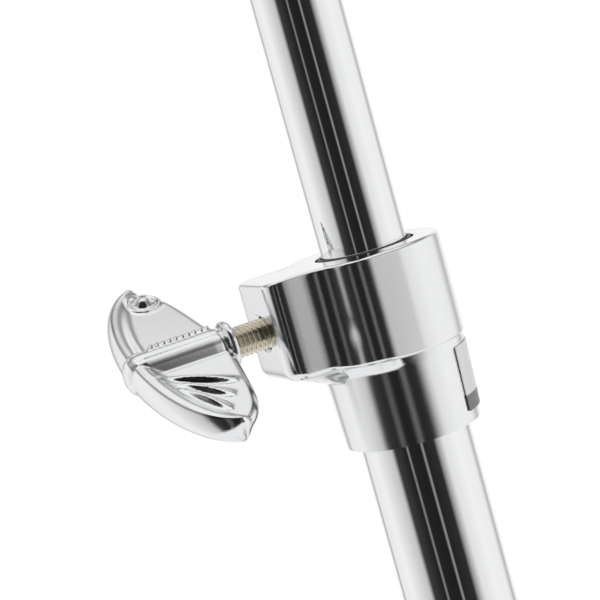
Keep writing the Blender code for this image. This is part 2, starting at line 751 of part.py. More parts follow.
def base_frame(cast):
    """The stirrup: two arms over a floor bar, an arch above and the socket for the lower tube."""
    wide, wall = FRAME_HALF_WIDTH, FRAME_WALL
    neck = FRAME_SOCKET_R + 0.004
    outer = [
        (-wide, FRAME_BAR / 2),
        (wide, FRAME_BAR / 2),
        (wide, FRAME_SHOULDER_Z),
        (neck + 0.003, FRAME_ARCH_Z + 0.006),
        (neck - 0.005, FRAME_ARCH_Z + 0.018),
        (-neck + 0.005, FRAME_ARCH_Z + 0.018),
        (-neck - 0.003, FRAME_ARCH_Z + 0.006),
        (-wide, FRAME_SHOULDER_Z),
    ]
    window = [
        (-wide + wall, FRAME_BAR),
        (wide - wall, FRAME_BAR),
        (wide - wall, FRAME_SHOULDER_Z - 0.004),
        (neck - 0.003, FRAME_ARCH_Z),
        (-neck + 0.003, FRAME_ARCH_Z),
        (-wide + wall, FRAME_SHOULDER_Z - 0.004),
    ]
    upright = turn(math.pi / 2, "X")
    deep = FRAME_HALF_DEPTH
    frame = add("base_frame", prism(filleted(outer, 0.004), -deep, deep), cast, place=upright)
    cut(frame, "cut_frame_window", prism(filleted(window, 0.006), -deep - 0.02, deep + 0.02), upright)
    out, along = wide + 0.002, deep + 0.008
    foot_bar = filleted([(-out, -along), (out, -along), (out, along), (-out, along)], 0.006)
    join(frame, "frame_foot_bar", prism(foot_bar, 0.0, FRAME_BAR + 0.001))
    socket = rod(FRAME_SOCKET_R, FRAME_ARCH_Z, FRAME_SOCKET_TOP_Z, ROUND, 0.001)
    join(frame, "frame_socket", socket)
    tube_seat = rod(LOWER_TUBE_R + FIT, FRAME_SHELF_Z, FRAME_SOCKET_TOP_Z + 0.01, ROUND)
    cut(frame, "cut_frame_tube_seat", tube_seat)
    thread = rod(FRAME_THREAD_R, FRAME_ARCH_Z - 0.01, FRAME_SHELF_Z + 0.001, ROUND)
    cut(frame, "cut_frame_dial_thread", thread)
    for side in (1, -1):
        socket = rod(RADIUS_ROD_R + FIT, deep - RADIUS_ROD_SOCKET, deep + 0.02, PIN_ROUND)
        place = move(side * radius_rod_x(), 0, RADIUS_ROD_Z) @ turn(math.pi / 2, "X")
        cut(frame, f"cut_frame_rod_socket_{side + 2}", socket, place)
    return frame


def tension_dial(cast, frame):
    """The notched dial under the arch. Its hollow threaded sleeve lifts the spring's seat."""
    dial = add("tension_dial", knurled(DIAL_R, DIAL_THICK, DIAL_NOTCHES, 0.0014), cast, frame)
    sleeve = rod(DIAL_SLEEVE_R, DIAL_THICK / 2, DIAL_SLEEVE_TOP_Z - DIAL_Z, ROUND - 4)
    join(dial, "dial_sleeve", sleeve)
    bore = rod(DIAL_BORE_R, -0.01, DIAL_SLEEVE_TOP_Z - DIAL_Z + 0.01, ROUND - 4)
    cut(dial, "cut_dial_bore", bore)
    return dial


def spring_low():
    return DIAL_SLEEVE_TOP_Z + FIT + SPRING_SEAT_THICK + FIT


def return_spring(steel):
    """The coil between its seat and the rod's collar: one helix with closed end turns."""
    low = spring_low() + SPRING_WIRE_R
    high = ROD_COLLAR_Z - FIT - SPRING_WIRE_R
    per_turn, around = 10, 6
    closed = SPRING_WIRE_R * 2.3
    count = SPRING_TURNS * per_turn
    rings = []
    for k in range(count + 1):
        turns = k / per_turn
        middle = (turns - 1) / (SPRING_TURNS - 2)
        if turns < 1:
            height = low + closed * turns
        elif turns > SPRING_TURNS - 1:
            height = high - closed * (SPRING_TURNS - turns)
        else:
            height = low + closed + (high - low - 2 * closed) * middle
        outward = Vector((math.cos(math.tau * turns), math.sin(math.tau * turns), 0))
        ring = []
        for j in range(around):
            angle = math.tau * j / around
            point = outward * (SPRING_RADIUS + SPRING_WIRE_R * math.cos(angle))
            ring.append(point + Vector((0, 0, height + SPRING_WIRE_R * math.sin(angle))))
        rings.append(ring)
    return add("return_spring", loft(rings), steel)


# Pull rod, yoke and chain


def yoke_pin_z():
    return TOE_PIN_Z + CHAIN_PITCH * CHAIN_LINKS


def pull_rods(steel, frame):
    """The lower rod with its spring collar and coupling socket, and the upper rod screwed into it."""
    base = yoke_pin_z()
    joint_z = 0.4200
    coupling_r = 0.0062
    stem_low = YOKE_TOP - YOKE_BORE + FIT
    collar_low = ROD_COLLAR_Z - base
    coupling = joint_z - base
    profile = [
        (0.0, coupling + 0.020),
        (coupling_r, coupling + 0.020),
        (coupling_r, coupling - 0.020),
        (LOWER_ROD_R, coupling - 0.022),
        (LOWER_ROD_R, collar_low + ROD_COLLAR_THICK),
        (SPRING_RADIUS + SPRING_WIRE_R, collar_low + ROD_COLLAR_THICK),
        (SPRING_RADIUS + SPRING_WIRE_R, collar_low),
        (LOWER_ROD_R, collar_low),
        (LOWER_ROD_R, stem_low),
        (0.0, stem_low),
    ]
    lower = add("lower_rod", revolve(profile, SMALL_ROUND), steel, frame)
    cut(lower, "cut_rod_socket", rod(UPPER_ROD_R + FIT, coupling, coupling + 0.03, SMALL_ROUND))
    upper = rod(UPPER_ROD_R, coupling + FIT, ROD_TOP_Z - base, SMALL_ROUND, 0.0008)
    add("upper_rod", upper, steel, frame)


def yoke(chrome, frame):
    """The fork on the rod's end that straddles the top link, bored for the rod."""
    half = YOKE_HALF_WIDTH
    outline = filleted([(-half, -0.006), (half, -0.006), (half, YOKE_TOP), (-half, YOKE_TOP)], 0.0025)
    fork = add("rod_yoke", prism(outline, -half * 0.75, half * 0.75), chrome, frame, turn(math.pi / 2, "X"))
    gap = OUTER_PLATE_Y - LINK_PLATE + FIT * 2
    slot = box((-gap, -0.02, -0.02), (gap, 0.02, LINK_END_R + 0.0008))
    cut(fork, "cut_yoke_slot", slot)
    cut(fork, "cut_yoke_bore", rod(LOWER_ROD_R + FIT, YOKE_TOP - YOKE_BORE, YOKE_TOP + 0.01, SMALL_ROUND))
    pin_hole = rod(CHAIN_PIN_R + FIT, -0.02, 0.02, PIN_ROUND)
    cut(fork, "cut_yoke_pin_hole", pin_hole, turn(math.pi / 2, "Y"))
    pin = rod(CHAIN_PIN_R, -half - 0.001, half + 0.001, PIN_ROUND, 0.0003)
    add("yoke_pin", pin, chrome, frame, turn(math.pi / 2, "Y"))


def link_plate(offset):
    """One side plate of a link, waisted between two pins a pitch apart. X is across the chain."""
    outline = []
    steps = 4
    for end, sign in ((0.0, 1), (-CHAIN_PITCH, -1)):
        for k in range(-steps + 1, steps):
            angle = math.pi / 2 * k / steps
            outline.append((sign * LINK_END_R * math.sin(angle), end + sign * LINK_END_R * math.cos(angle)))
        outline.append((sign * LINK_END_R * 0.72, -CHAIN_PITCH / 2))
    plate = prism(outline, offset - LINK_PLATE / 2, offset + LINK_PLATE / 2)
    bmesh.ops.transform(plate, matrix=ACROSS_X, verts=plate.verts)
    return plate


def chain_pin(radius, half, z):
    """A bar across the chain along X at a height."""
    bm = rod(radius, -half, half, PIN_ROUND)
    bmesh.ops.transform(bm, matrix=move(0, 0, z) @ turn(math.pi / 2, "Y"), verts=bm.verts)
    return bm


def inner_link(name, finish, parent):
    """A roller link: two plates joined by two hollow rollers."""
    link = add(name, chain_pin(ROLLER_R, INNER_PLATE_Y, 0.0), finish, parent)
    join(link, name + "_roller", chain_pin(ROLLER_R, INNER_PLATE_Y, -CHAIN_PITCH))
    for side in (1, -1):
        join(link, f"{name}_plate_{side + 2}", link_plate(side * INNER_PLATE_Y))
    for number, z in enumerate((0.0, -CHAIN_PITCH)):
        cut(link, f"cut_{name}_bore_{number}", chain_pin(ROLLER_BORE_R, 0.01, z))
    return link


def outer_link(name, finish, parent, toe):
    """A link of two outer plates on pins. The toe link has open holes for the toe bolt at its lower end."""
    half = OUTER_PLATE_Y + LINK_PLATE / 2 + 0.0008
    link = add(name, chain_pin(CHAIN_PIN_R, half, 0.0), finish, parent)
    for side in (1, -1):
        join(link, f"{name}_plate_{side + 2}", link_plate(side * OUTER_PLATE_Y))
    if toe:
        bridge = box((-OUTER_PLATE_Y, -0.0030, -0.0092), (OUTER_PLATE_Y, -0.0018, -0.0050))
        join(link, name + "_bridge", bridge)
        cut(link, f"cut_{name}_toe_hole", chain_pin(TOE_HOLE_R, 0.01, -CHAIN_PITCH))
    else:
        join(link, name + "_pin", chain_pin(CHAIN_PIN_R, half, -CHAIN_PITCH))
    return link


def chain(steel, frame):
    """Roller and plate links in turn, from the yoke's pin down to the toe bolt."""
    for number in range(CHAIN_LINKS):
        place = joint_frame(f"chain_pitch_{number + 1}", (0, 0, -CHAIN_PITCH * number), None, frame)
        name = f"chain_link_{number + 1}"
        if number % 2 == 0:
            inner_link(name, steel, place)
        else:
            outer_link(name, steel, place, number == CHAIN_LINKS - 1)


# Pedal


def toe_reach():
    """From the heel pin to the toe bolt, which hangs straight under the rod."""
    return math.hypot(TOE_PIN_Z - HEEL_PIN_Z, HEEL_PIN_Y)


def board_tilt():
    """The footboard's slope at rest."""
    return math.atan2(TOE_PIN_Z - HEEL_PIN_Z, -HEEL_PIN_Y) - math.asin(BOARD_DROP / toe_reach())


def board_length():
    """From the heel pin to the foot of the toe bolt, along the board."""
    return math.sqrt(toe_reach() ** 2 - BOARD_DROP**2)


def radius_rod_x():
    return FRAME_HALF_WIDTH - FRAME_WALL / 2


def board_half_width(share):
    """Half the footboard's width from heel to toe: a gentle belly and a narrow toe."""
    belly = math.sin(math.pi * min(1.0, share * 1.15)) ** 0.8 if share < 0.87 else 0.0
    base = BOARD_HEEL_HALF_WIDTH + (BOARD_TOE_HALF_WIDTH - BOARD_HEEL_HALF_WIDTH) * share
    return base + (BOARD_HALF_WIDTH - BOARD_HEEL_HALF_WIDTH) * belly


def footboard(cast, frame):
    """The cast plate: bellied outline, slots, side lips below and the hinge knuckle at the heel."""
    length = board_length()
    steps = 14
    start, stop = 0.0090, length + 0.0040
    shares = [k / steps for k in range(steps + 1)]
    side = [(board_half_width(s) * (1.0 if s < 0.99 else 0.90), start + (stop - start) * s) for s in shares]
    outline = side + [(-x, y) for x, y in reversed(side)]
    top = BOARD_THICK / 2
    board = add("footboard", prism(outline, -top, top), cast, frame)
    for hand in (1, -1):
        lip = []
        for x, y in side[:-1]:
            lip.append((x * hand, y))
        for x, y in reversed(side[:-1]):
            lip.append(((x - 0.0030) * hand, y))
        join(board, f"footboard_lip_{hand + 2}", prism(lip, -top - 0.0045, 0.0))
    spine = box((-0.0025, start, -top - 0.0045), (0.0025, stop - 0.014, 0.0))
    join(board, "footboard_spine", spine)
    knuckle_half = BOARD_HEEL_HALF_WIDTH - 0.0005
    across = turn(math.pi / 2, "Y")
    join(board, "footboard_knuckle", rod(KNUCKLE_R, -knuckle_half, knuckle_half, SMALL_ROUND), across)
    web = box((-knuckle_half, 0.0, -0.0015), (knuckle_half, start + 0.004, 0.0015))
    join(board, "footboard_heel_web", web)
    for k in range(BOARD_SLOTS):
        y = 0.052 + 0.026 * k
        for hand in (1, -1):
            slot = stadium(BOARD_SLOT_HALF_LENGTH - BOARD_SLOT_HALF_WIDTH, BOARD_SLOT_HALF_WIDTH, 4)
            place = move(hand * 0.0170, y, 0.0)
            cut(board, f"cut_footboard_slot_{k}_{hand + 2}", prism(slot, -0.01, 0.01), place)
    cut(board, "cut_footboard_pin_bore", rod(HEEL_PIN_R + PIN_FIT, -0.05, 0.05, SMALL_ROUND), across)
    return board


def toe_clamp(chrome, frame):
    """The saddle on the toe with two ears, and the bolt that takes the chain's last link."""
    length = board_length()
    gap = OUTER_PLATE_Y + LINK_PLATE / 2 + 0.0008 + FIT
    ear = 0.0022
    low = BOARD_THICK / 2 + FIT
    outline = filleted(
        [(-0.0085, low), (0.0085, low), (0.0062, BOARD_DROP + 0.0052), (-0.0062, BOARD_DROP + 0.0052)], 0.002, 3
    )
    place = move(0, length, 0)
    clamp = add("toe_clamp", prism(outline, -gap - ear, gap + ear), chrome, frame, place @ ACROSS_X)
    room = BOARD_DROP - LINK_END_R - 0.0015
    cut(clamp, "cut_toe_clamp_gap", box((-gap, -0.02, room), (gap, 0.02, 0.03)), place)
    bolt_place = place @ move(0, 0, BOARD_DROP) @ turn(math.pi / 2, "Y")
    bolt_r = 0.0020
    cut(clamp, "cut_toe_clamp_bolt", rod(bolt_r + FIT, -0.02, 0.02, PIN_ROUND), bolt_place)
    reach = gap + ear + FIT
    head = 0.0036
    profile = [
        (0.0, reach + 0.0022),
        (head, reach + 0.0022),
        (head, reach),
        (bolt_r, reach),
        (bolt_r, -reach - 0.0015),
        (0.0, -reach - 0.0015),
    ]
    add("toe_bolt", revolve(profile, PIN_ROUND), chrome, frame, bolt_place)


def heel_plate(cast):
    """The tray under the heel: a low box open below, hinge lugs in front and sockets for the radius rods."""
    front = HEEL_PIN_Y - KNUCKLE_R - 0.0040
    back = front - HEEL_PLATE_LENGTH
    wide = HEEL_PLATE_HALF_WIDTH
    outline = filleted([(-wide, back), (wide, back), (wide, front), (-wide, front)], 0.010)
    plate = add("heel_plate", prism(outline, 0.0, HEEL_PLATE_HEIGHT), cast)
    rail = wide - radius_rod_x() + RADIUS_ROD_R + 0.0030
    hollow = filleted(
        [
            (-wide + rail, back + 0.005),
            (wide - rail, back + 0.005),
            (wide - rail, front - 0.005),
            (-wide + rail, front - 0.005),
        ],
        0.006,
    )
    cut(plate, "cut_heel_plate_hollow", prism(hollow, -0.01, HEEL_PLATE_HEIGHT - 0.004))
    lug_in = BOARD_HEEL_HALF_WIDTH
    lug_out = lug_in + HEEL_LUG_THICK
    for side in (1, -1):
        arc = [
            (HEEL_PIN_Y + KNUCKLE_R * math.cos(a), HEEL_PIN_Z + KNUCKLE_R * math.sin(a))
            for a in [math.pi * k / 8 - math.pi / 2 for k in range(9)]
        ]
        low_z = HEEL_PLATE_HEIGHT - 0.0035
        shape = [*arc, (front - 0.016, HEEL_PLATE_HEIGHT + 0.001), (front - 0.016, low_z), (front + 0.003, low_z)]
        low, high = sorted((side * lug_in, side * lug_out))
        join(plate, f"heel_plate_lug_{side + 2}", prism(shape, low, high), ACROSS_X)
        socket = rod(RADIUS_ROD_R + FIT, 0.0, 0.030, PIN_ROUND)
        place = move(side * radius_rod_x(), front - 0.020, RADIUS_ROD_Z) @ turn(-math.pi / 2, "X")
        cut(plate, f"cut_heel_plate_rod_{side + 2}", socket, place)
    pin_place = move(0, HEEL_PIN_Y, HEEL_PIN_Z) @ turn(math.pi / 2, "Y")
    cut(plate, "cut_heel_plate_pin", rod(HEEL_PIN_R + PIN_FIT, -0.06, 0.06, SMALL_ROUND), pin_place)
    pin_half = lug_out + 0.0010
    add("heel_pin", rod(HEEL_PIN_R, -pin_half, pin_half, SMALL_ROUND, 0.0005), cast, place=pin_place)
    return plate, front


def radius_rods(chrome, front):
    """Two straight bars that keep the heel plate at its distance from the base frame."""
    for side, name in ((1, "radius_rod_right"), (-1, "radius_rod_left")):
        near = front - 0.020 + FIT
        far = -FRAME_HALF_DEPTH + RADIUS_ROD_SOCKET - FIT
        place = move(side * radius_rod_x(), 0, RADIUS_ROD_Z) @ turn(-math.pi / 2, "X")
        add(name, rod(RADIUS_ROD_R, near, far, PIN_ROUND, 0.0005), chrome, place=place)


# Cymbal seat and clutch


def seat(plastic, felt, chrome, steel, height_frame):
    """The plug in the tube's top, the cup hinged on it at -X, the felt, and the screw that lifts the cup at +X."""
    shoulder = 0.0120
    neck = SEAT_HOLDER_R * 0.60
    plug = UPPER_TUBE_R - TUBE_WALL - FIT
    profile = [
        (ROD_HOLE_R, SEAT_HOLDER_HEIGHT),
        (neck, SEAT_HOLDER_HEIGHT),
        (neck, shoulder),
        (SEAT_HOLDER_R, shoulder),
        (SEAT_HOLDER_R, FIT),
        (plug, FIT),
        (plug, -SEAT_PLUG_DEPTH),
        (ROD_HOLE_R, -SEAT_PLUG_DEPTH),
    ]
    holder = add("seat_holder", revolve(profile, ROUND - 4), chrome, height_frame)
    arm_top = shoulder - 0.0020
    reach = -SEAT_HINGE_X + SEAT_HINGE_LUG + 0.0010
    arm = box((-reach, -0.0055, 0.0010), (TILT_SCREW_X + 0.0050, 0.0055, arm_top))
    join(holder, "seat_holder_arm", arm)
    cut(holder, "cut_seat_holder_bore", rod(ROD_HOLE_R, -0.03, 0.03, SMALL_ROUND))
    cut(holder, "cut_seat_holder_thread", rod(TILT_SCREW_R + FIT, -0.01, 0.02, PIN_ROUND), move(TILT_SCREW_X, 0, 0))
    lug_half = 0.0024
    hinge_z = arm_top - SEAT_HINGE_LUG - 0.0006
    room = SEAT_HINGE_LUG + 0.0006
    slot = box(
        (-reach - 0.01, -lug_half - FIT, hinge_z - room - 0.0005), (SEAT_HINGE_X + room, lug_half + FIT, 0.03)
    )
    cut(holder, "cut_seat_holder_fork", slot)
    across = turn(math.pi / 2, "X")
    pin_hole = rod(SEAT_HINGE_R + FIT, -0.02, 0.02, PIN_ROUND)
    cut(holder, "cut_seat_holder_pin", pin_hole, move(SEAT_HINGE_X, 0, hinge_z) @ across)

    hinge = joint_frame("seat_tilt_axis", (SEAT_HINGE_X, 0, hinge_z), None, height_frame)
    hole = neck + 0.0014
    low = shoulder + FIT - hinge_z
    floor = low + SEAT_CUP_THICK * 0.70
    cup_profile = [
        (hole, floor),
        (SEAT_FELT_R + 0.0008, floor),
        (SEAT_FELT_R + 0.0012, low + SEAT_CUP_THICK),
        (SEAT_CUP_R - 0.0015, low + SEAT_CUP_THICK),
        (SEAT_CUP_R, low + SEAT_CUP_THICK - 0.0015),
        (SEAT_CUP_R - 0.0015, low + 0.0016),
        (SEAT_CUP_R - 0.0050, low),
        (hole, low),
    ]
    centre = move(-SEAT_HINGE_X, 0, 0)
    cup = add("seat_cup", revolve(cup_profile, ROUND), plastic, hinge, centre)
    arc = [
        (SEAT_HINGE_LUG * math.cos(a), SEAT_HINGE_LUG * math.sin(a))
        for a in [math.pi + math.pi * k / 6 for k in range(7)]
    ]
    lug = prism([*arc, (SEAT_HINGE_LUG, low + 0.001), (-SEAT_HINGE_LUG, low + 0.001)], -lug_half, lug_half)
    join(cup, "seat_cup_lug", lug, across)
    cut(cup, "cut_seat_cup_pin", rod(SEAT_HINGE_R + FIT, -0.01, 0.01, PIN_ROUND), across)
    pin = rod(SEAT_HINGE_R, -0.0055, 0.0055, PIN_ROUND, 0.0002)
    add("seat_hinge_pin", pin, steel, height_frame, move(SEAT_HINGE_X, 0, hinge_z) @ across)
    washer = pipe(SEAT_FELT_R, hole, floor + FIT, floor + FIT + SEAT_FELT_THICK, ROUND, 0.0010)
    add("seat_felt", washer, felt, hinge, centre)

    knob_r, knob_low = 0.0055, -0.0120
    screw_top = shoulder
    turner = joint_frame("tilt_screw_axis", (TILT_SCREW_X, 0, 0), None, height_frame)
    screw = add("tilt_screw", knurled(knob_r, 0.0070, 10, 0.0006), steel, turner, move(0, 0, knob_low))
    join(screw, "tilt_screw_shank", rod(TILT_SCREW_R, knob_low + 0.003, screw_top, PIN_ROUND, 0.0004))


def clutch(chrome, felt, steel, frame):
    """The sleeve on the rod with its bottom nut, two felts, lock nut and wing bolt."""
    tube_bore = UPPER_ROD_R + FIT
    felt_low = CLUTCH_NUT_THICK + FIT
    felt_mid = felt_low + CLUTCH_FELT_THICK + FIT
    lock_low = felt_mid + CLUTCH_FELT_THICK + FIT
    head_low = lock_low + CLUTCH_LOCK_THICK + 0.0010
    head_high = head_low + CLUTCH_HEAD_HEIGHT
    profile = [
        (tube_bore, head_high),
        (CLUTCH_HEAD_R - 0.0010, head_high),
        (CLUTCH_HEAD_R, head_high - 0.0010),
        (CLUTCH_HEAD_R, head_low + 0.0010),
        (CLUTCH_HEAD_R - 0.0010, head_low),
        (CLUTCH_TUBE_R, head_low),
        (CLUTCH_TUBE_R, 0.0005),
        (tube_bore, 0.0005),
    ]
    body = add("clutch_body", revolve(profile, ROUND - 4), chrome, frame)
    bolt_z = head_low + CLUTCH_HEAD_HEIGHT * 0.5
    facing = move(0, 0, bolt_z) @ turn(-math.pi / 2, "Y")
    join(body, "clutch_boss", rod(0.0062, CLUTCH_TUBE_R, CLUTCH_BOSS_REACH, SMALL_ROUND, 0.0006), facing)
    cut(body, "cut_clutch_thread", rod(CLUTCH_BOLT_R + FIT, 0.0, CLUTCH_BOSS_REACH + 0.01, PIN_ROUND), facing)

    nut_axis = joint_frame("clutch_nut_axis", (0, 0, 0), None, frame)
    nut = add("clutch_bottom_nut", knurled(CLUTCH_NUT_R, CLUTCH_NUT_THICK, 20, 0.0008), chrome, nut_axis)
    cut(nut, "cut_clutch_nut_thread", rod(CLUTCH_TUBE_R + FIT, -0.01, 0.02, SMALL_ROUND + 4))
    lock_axis = joint_frame("clutch_lock_axis", (0, 0, lock_low), None, frame)
    lock = add("clutch_lock_nut", knurled(CLUTCH_LOCK_R, CLUTCH_LOCK_THICK, 20, 0.0007), chrome, lock_axis)
    cut(lock, "cut_clutch_lock_thread", rod(CLUTCH_TUBE_R + FIT, -0.01, 0.02, SMALL_ROUND + 4))
    bore = CLUTCH_TUBE_R + FIT
    lower = pipe(CLUTCH_FELT_R, bore, felt_low, felt_low + CLUTCH_FELT_THICK, ROUND - 4, 0.0010)
    upper = pipe(CLUTCH_FELT_R, bore, felt_mid, felt_mid + CLUTCH_FELT_THICK, ROUND - 4, 0.0010)
    add("clutch_felt_lower", lower, felt, frame)
    add("clutch_felt_upper", upper, felt, frame)

    bolt_axis = joint_frame(
        "clutch_bolt_axis", (-CLUTCH_BOSS_REACH, 0, bolt_z), turn(-math.pi / 2, "Y"), frame
    )
    stand_off = 0.0035
    holder = joint_frame("clutch_wing_seat", (0, 0, stand_off), None, bolt_axis)
    wing = wing_handle(
        "clutch_wing", chrome, holder, 0.0150, 0.0170, 0.0042, 0.0048, 0.0032, 0.0014, detailed=False
    )
    depth = 0.0090
    cut(wing, "cut_clutch_stud_socket", rod(CLUTCH_BOLT_R + FIT, -0.002, depth + FIT, PIN_ROUND))
    stud_end = -(CLUTCH_BOSS_REACH + stand_off - UPPER_ROD_R - FIT)
    add("clutch_stud", rod(CLUTCH_BOLT_R, stud_end, depth, PIN_ROUND, 0.0005), steel, holder)


def build():
    clear_scene()
    chrome = material("chrome", (0.78, 0.79, 0.81), 0.08, 1.0)
    cast = material("polished_alloy", (0.72, 0.73, 0.75), 0.22, 1.0)
    steel = material("bright_steel", (0.66, 0.64, 0.60), 0.25, 1.0)
    nylon = material("black_nylon", (0.03, 0.03, 0.03), 0.45, 0.0)
    brass = material("brass", (0.75, 0.58, 0.28), 0.30, 1.0)
    rubber = material("black_rubber", (0.02, 0.02, 0.02), 0.75, 0.0)
    felt = material("grey_felt", (0.42, 0.42, 0.43), 0.95, 0.0)

    height_frame = joint_frame("height_slide_axis", (0, 0, UPPER_TUBE_TOP_Z))
    collar_frame = joint_frame("leg_collar_axis", (0, 0, UPPER_PIVOT_Z))
    rod_frame = joint_frame("pull_rod_axis", (0, 0, yoke_pin_z()))
    chain_frame = joint_frame("chain_top_pin", (0, 0, 0), None, rod_frame)
    clutch_frame = joint_frame("clutch_slide_axis", (0, 0, CLUTCH_Z - yoke_pin_z()), None, rod_frame)
    board_frame = joint_frame("heel_pin_axis", (0, HEEL_PIN_Y, HEEL_PIN_Z), turn(board_tilt(), "X"))
    dial_frame = joint_frame("dial_axis", (0, 0, DIAL_Z))

    tubes(chrome, height_frame)
    height_collar(chrome)
    height_bushing(nylon)
    bolt_frame = joint_frame("height_bolt_axis", (-BOSS_REACH, 0, COLLAR_Z + BOLT_Z), turn(-math.pi / 2, "Y"))
    shoe_outer = UPPER_TUBE_R + FIT + 0.0050
    wing_bolt("height", chrome, steel, bolt_frame, BOSS_REACH, shoe_outer + FIT)
    shoe_place = move(0, 0, COLLAR_Z + BOLT_Z) @ turn(-math.pi / 2, "Y")
    pressure_shoe("height_shoe", brass, (UPPER_TUBE_R + FIT, shoe_outer), shoe_place)

    leg_collar(chrome, collar_frame)
    lower_collar(chrome)
    facing = turn(LEG_WING_AZIMUTH, "Z") @ turn(math.pi / 2, "Y")
    outward = turn(LEG_WING_AZIMUTH, "Z") @ Vector((LEG_BOSS_REACH, 0, 0))
    leg_bolt_frame = joint_frame("leg_bolt_axis", outward, facing, collar_frame)
    wing_bolt("leg", chrome, steel, leg_bolt_frame, LEG_BOSS_REACH, LOWER_TUBE_R + FIT * 2)
    for number, azimuth in enumerate(LEG_AZIMUTHS, 1):
        tripod_leg(number, azimuth, chrome, rubber, collar_frame)

    base_frame(cast)
    tension_dial(cast, dial_frame)
    ring_low = DIAL_SLEEVE_TOP_Z + FIT
    seat_ring = pipe(
        LOWER_TUBE_R - TUBE_WALL - FIT, LOWER_ROD_R + 0.001, ring_low, ring_low + SPRING_SEAT_THICK, ROUND - 4
    )
    add("spring_seat", seat_ring, steel)
    return_spring(steel)
    pull_rods(steel, rod_frame)
    yoke(chrome, rod_frame)
    chain(steel, chain_frame)

    footboard(cast, board_frame)
    toe_clamp(chrome, board_frame)
    _, front = heel_plate(cast)
    radius_rods(chrome, front)

    seat(nylon, felt, chrome, steel, height_frame)
    clutch(chrome, felt, steel, clutch_frame)


build()
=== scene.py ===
import json
import math

import bmesh
import bpy
from mathutils import Matrix, Vector, noise


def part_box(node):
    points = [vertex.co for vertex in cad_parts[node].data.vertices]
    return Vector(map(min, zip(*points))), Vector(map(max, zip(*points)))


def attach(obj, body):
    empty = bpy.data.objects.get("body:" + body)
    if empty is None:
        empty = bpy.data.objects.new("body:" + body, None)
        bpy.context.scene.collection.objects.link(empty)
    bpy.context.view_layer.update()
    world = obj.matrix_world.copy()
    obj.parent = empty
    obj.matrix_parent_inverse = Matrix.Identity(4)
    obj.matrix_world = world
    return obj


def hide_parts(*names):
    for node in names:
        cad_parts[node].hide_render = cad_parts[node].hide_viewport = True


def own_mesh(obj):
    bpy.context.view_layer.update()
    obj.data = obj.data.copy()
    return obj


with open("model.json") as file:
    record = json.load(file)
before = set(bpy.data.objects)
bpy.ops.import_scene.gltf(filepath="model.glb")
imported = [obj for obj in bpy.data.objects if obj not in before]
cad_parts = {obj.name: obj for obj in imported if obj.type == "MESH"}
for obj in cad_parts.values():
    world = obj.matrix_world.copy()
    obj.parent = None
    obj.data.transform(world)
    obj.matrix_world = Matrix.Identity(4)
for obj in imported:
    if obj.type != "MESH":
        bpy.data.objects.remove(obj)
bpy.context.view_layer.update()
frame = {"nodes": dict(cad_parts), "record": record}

bpy.ops.object.select_all(action="DESELECT")


# The studio: a pale floor, a white world, and a round wall that only reflections see.
# Polished chrome shows its room, and this one is white with a dark side behind the camera.
collar_z = 0.570
camera_turn = math.radians(-23.2)
camera_place = Vector((math.sin(camera_turn) * 0.437, -math.cos(camera_turn) * 0.437, collar_z + 0.099))
pitch, pan, roll = math.radians(7.7), math.radians(2.5), math.radians(-15.7)
facing = camera_turn + pan
back = Vector((math.sin(facing) * math.cos(pitch), -math.cos(facing) * math.cos(pitch), math.sin(pitch)))
level_right = Vector((math.cos(facing), math.sin(facing), 0))
level_up = back.cross(level_right)
right = math.cos(roll) * level_right + math.sin(roll) * level_up
up = -math.sin(roll) * level_right + math.cos(roll) * level_up
camera_data = bpy.data.cameras.new("camera")
camera_data.lens = 104.7
camera_data.clip_start = 0.01
camera = bpy.data.objects.new("camera", camera_data)
bpy.context.scene.collection.objects.link(camera)
camera.matrix_world = Matrix.Translation(camera_place) @ Matrix((right, up, back)).transposed().to_4x4()
bpy.context.scene.camera = camera
bpy.context.scene.view_settings.view_transform = "Standard"


def seen_directly(nodes, links):
    """One for rays that look at the background, whether straight or in metal or glass."""
    path = nodes.new("ShaderNodeLightPath")
    seen = nodes.new("ShaderNodeMath")
    seen.operation = "MAXIMUM"
    links.new(path.outputs["Is Camera Ray"], seen.inputs[0])
    links.new(path.outputs["Is Glossy Ray"], seen.inputs[1])
    also = nodes.new("ShaderNodeMath")
    also.operation = "MAXIMUM"
    links.new(seen.outputs[0], also.inputs[0])
    links.new(path.outputs["Is Transmission Ray"], also.inputs[1])
    return also.outputs[0]


world = bpy.data.worlds.new("white_room")
bpy.context.scene.world = world
world.use_nodes = True
tree = world.node_tree
sky = tree.nodes["Background"]
sky.inputs["Color"].default_value = (1, 1, 1, 1)
strength = tree.nodes.new("ShaderNodeMapRange")
strength.inputs["To Min"].default_value = 0.75
strength.inputs["To Max"].default_value = 1.0
tree.links.new(seen_directly(tree.nodes, tree.links), strength.inputs["Value"])
tree.links.new(strength.outputs["Result"], sky.inputs["Strength"])

bpy.ops.mesh.primitive_plane_add(size=12, location=(0, 0, 0))
floor = bpy.context.object
floor.name = "floor"
paper = bpy.data.materials.new("floor_paper")
paper.use_nodes = True
tree = paper.node_tree
tree.nodes["Principled BSDF"].inputs["Base Color"].default_value = (0.88, 0.88, 0.88, 1)
tree.nodes["Principled BSDF"].inputs["Roughness"].default_value = 0.9
glow = tree.nodes.new("ShaderNodeEmission")
blend = tree.nodes.new("ShaderNodeMixShader")
share = tree.nodes.new("ShaderNodeMath")
share.operation = "MULTIPLY"
place = tree.nodes.new("ShaderNodeTexCoord")
distance = tree.nodes.new("ShaderNodeVectorMath")
distance.operation = "LENGTH"
fade = tree.nodes.new("ShaderNodeMapRange")
fade.interpolation_type = "SMOOTHSTEP"
fade.inputs["From Min"].default_value = 0.45
fade.inputs["From Max"].default_value = 1.25
fade.inputs["To Min"].default_value = 0.72
fade.inputs["To Max"].default_value = 1.0
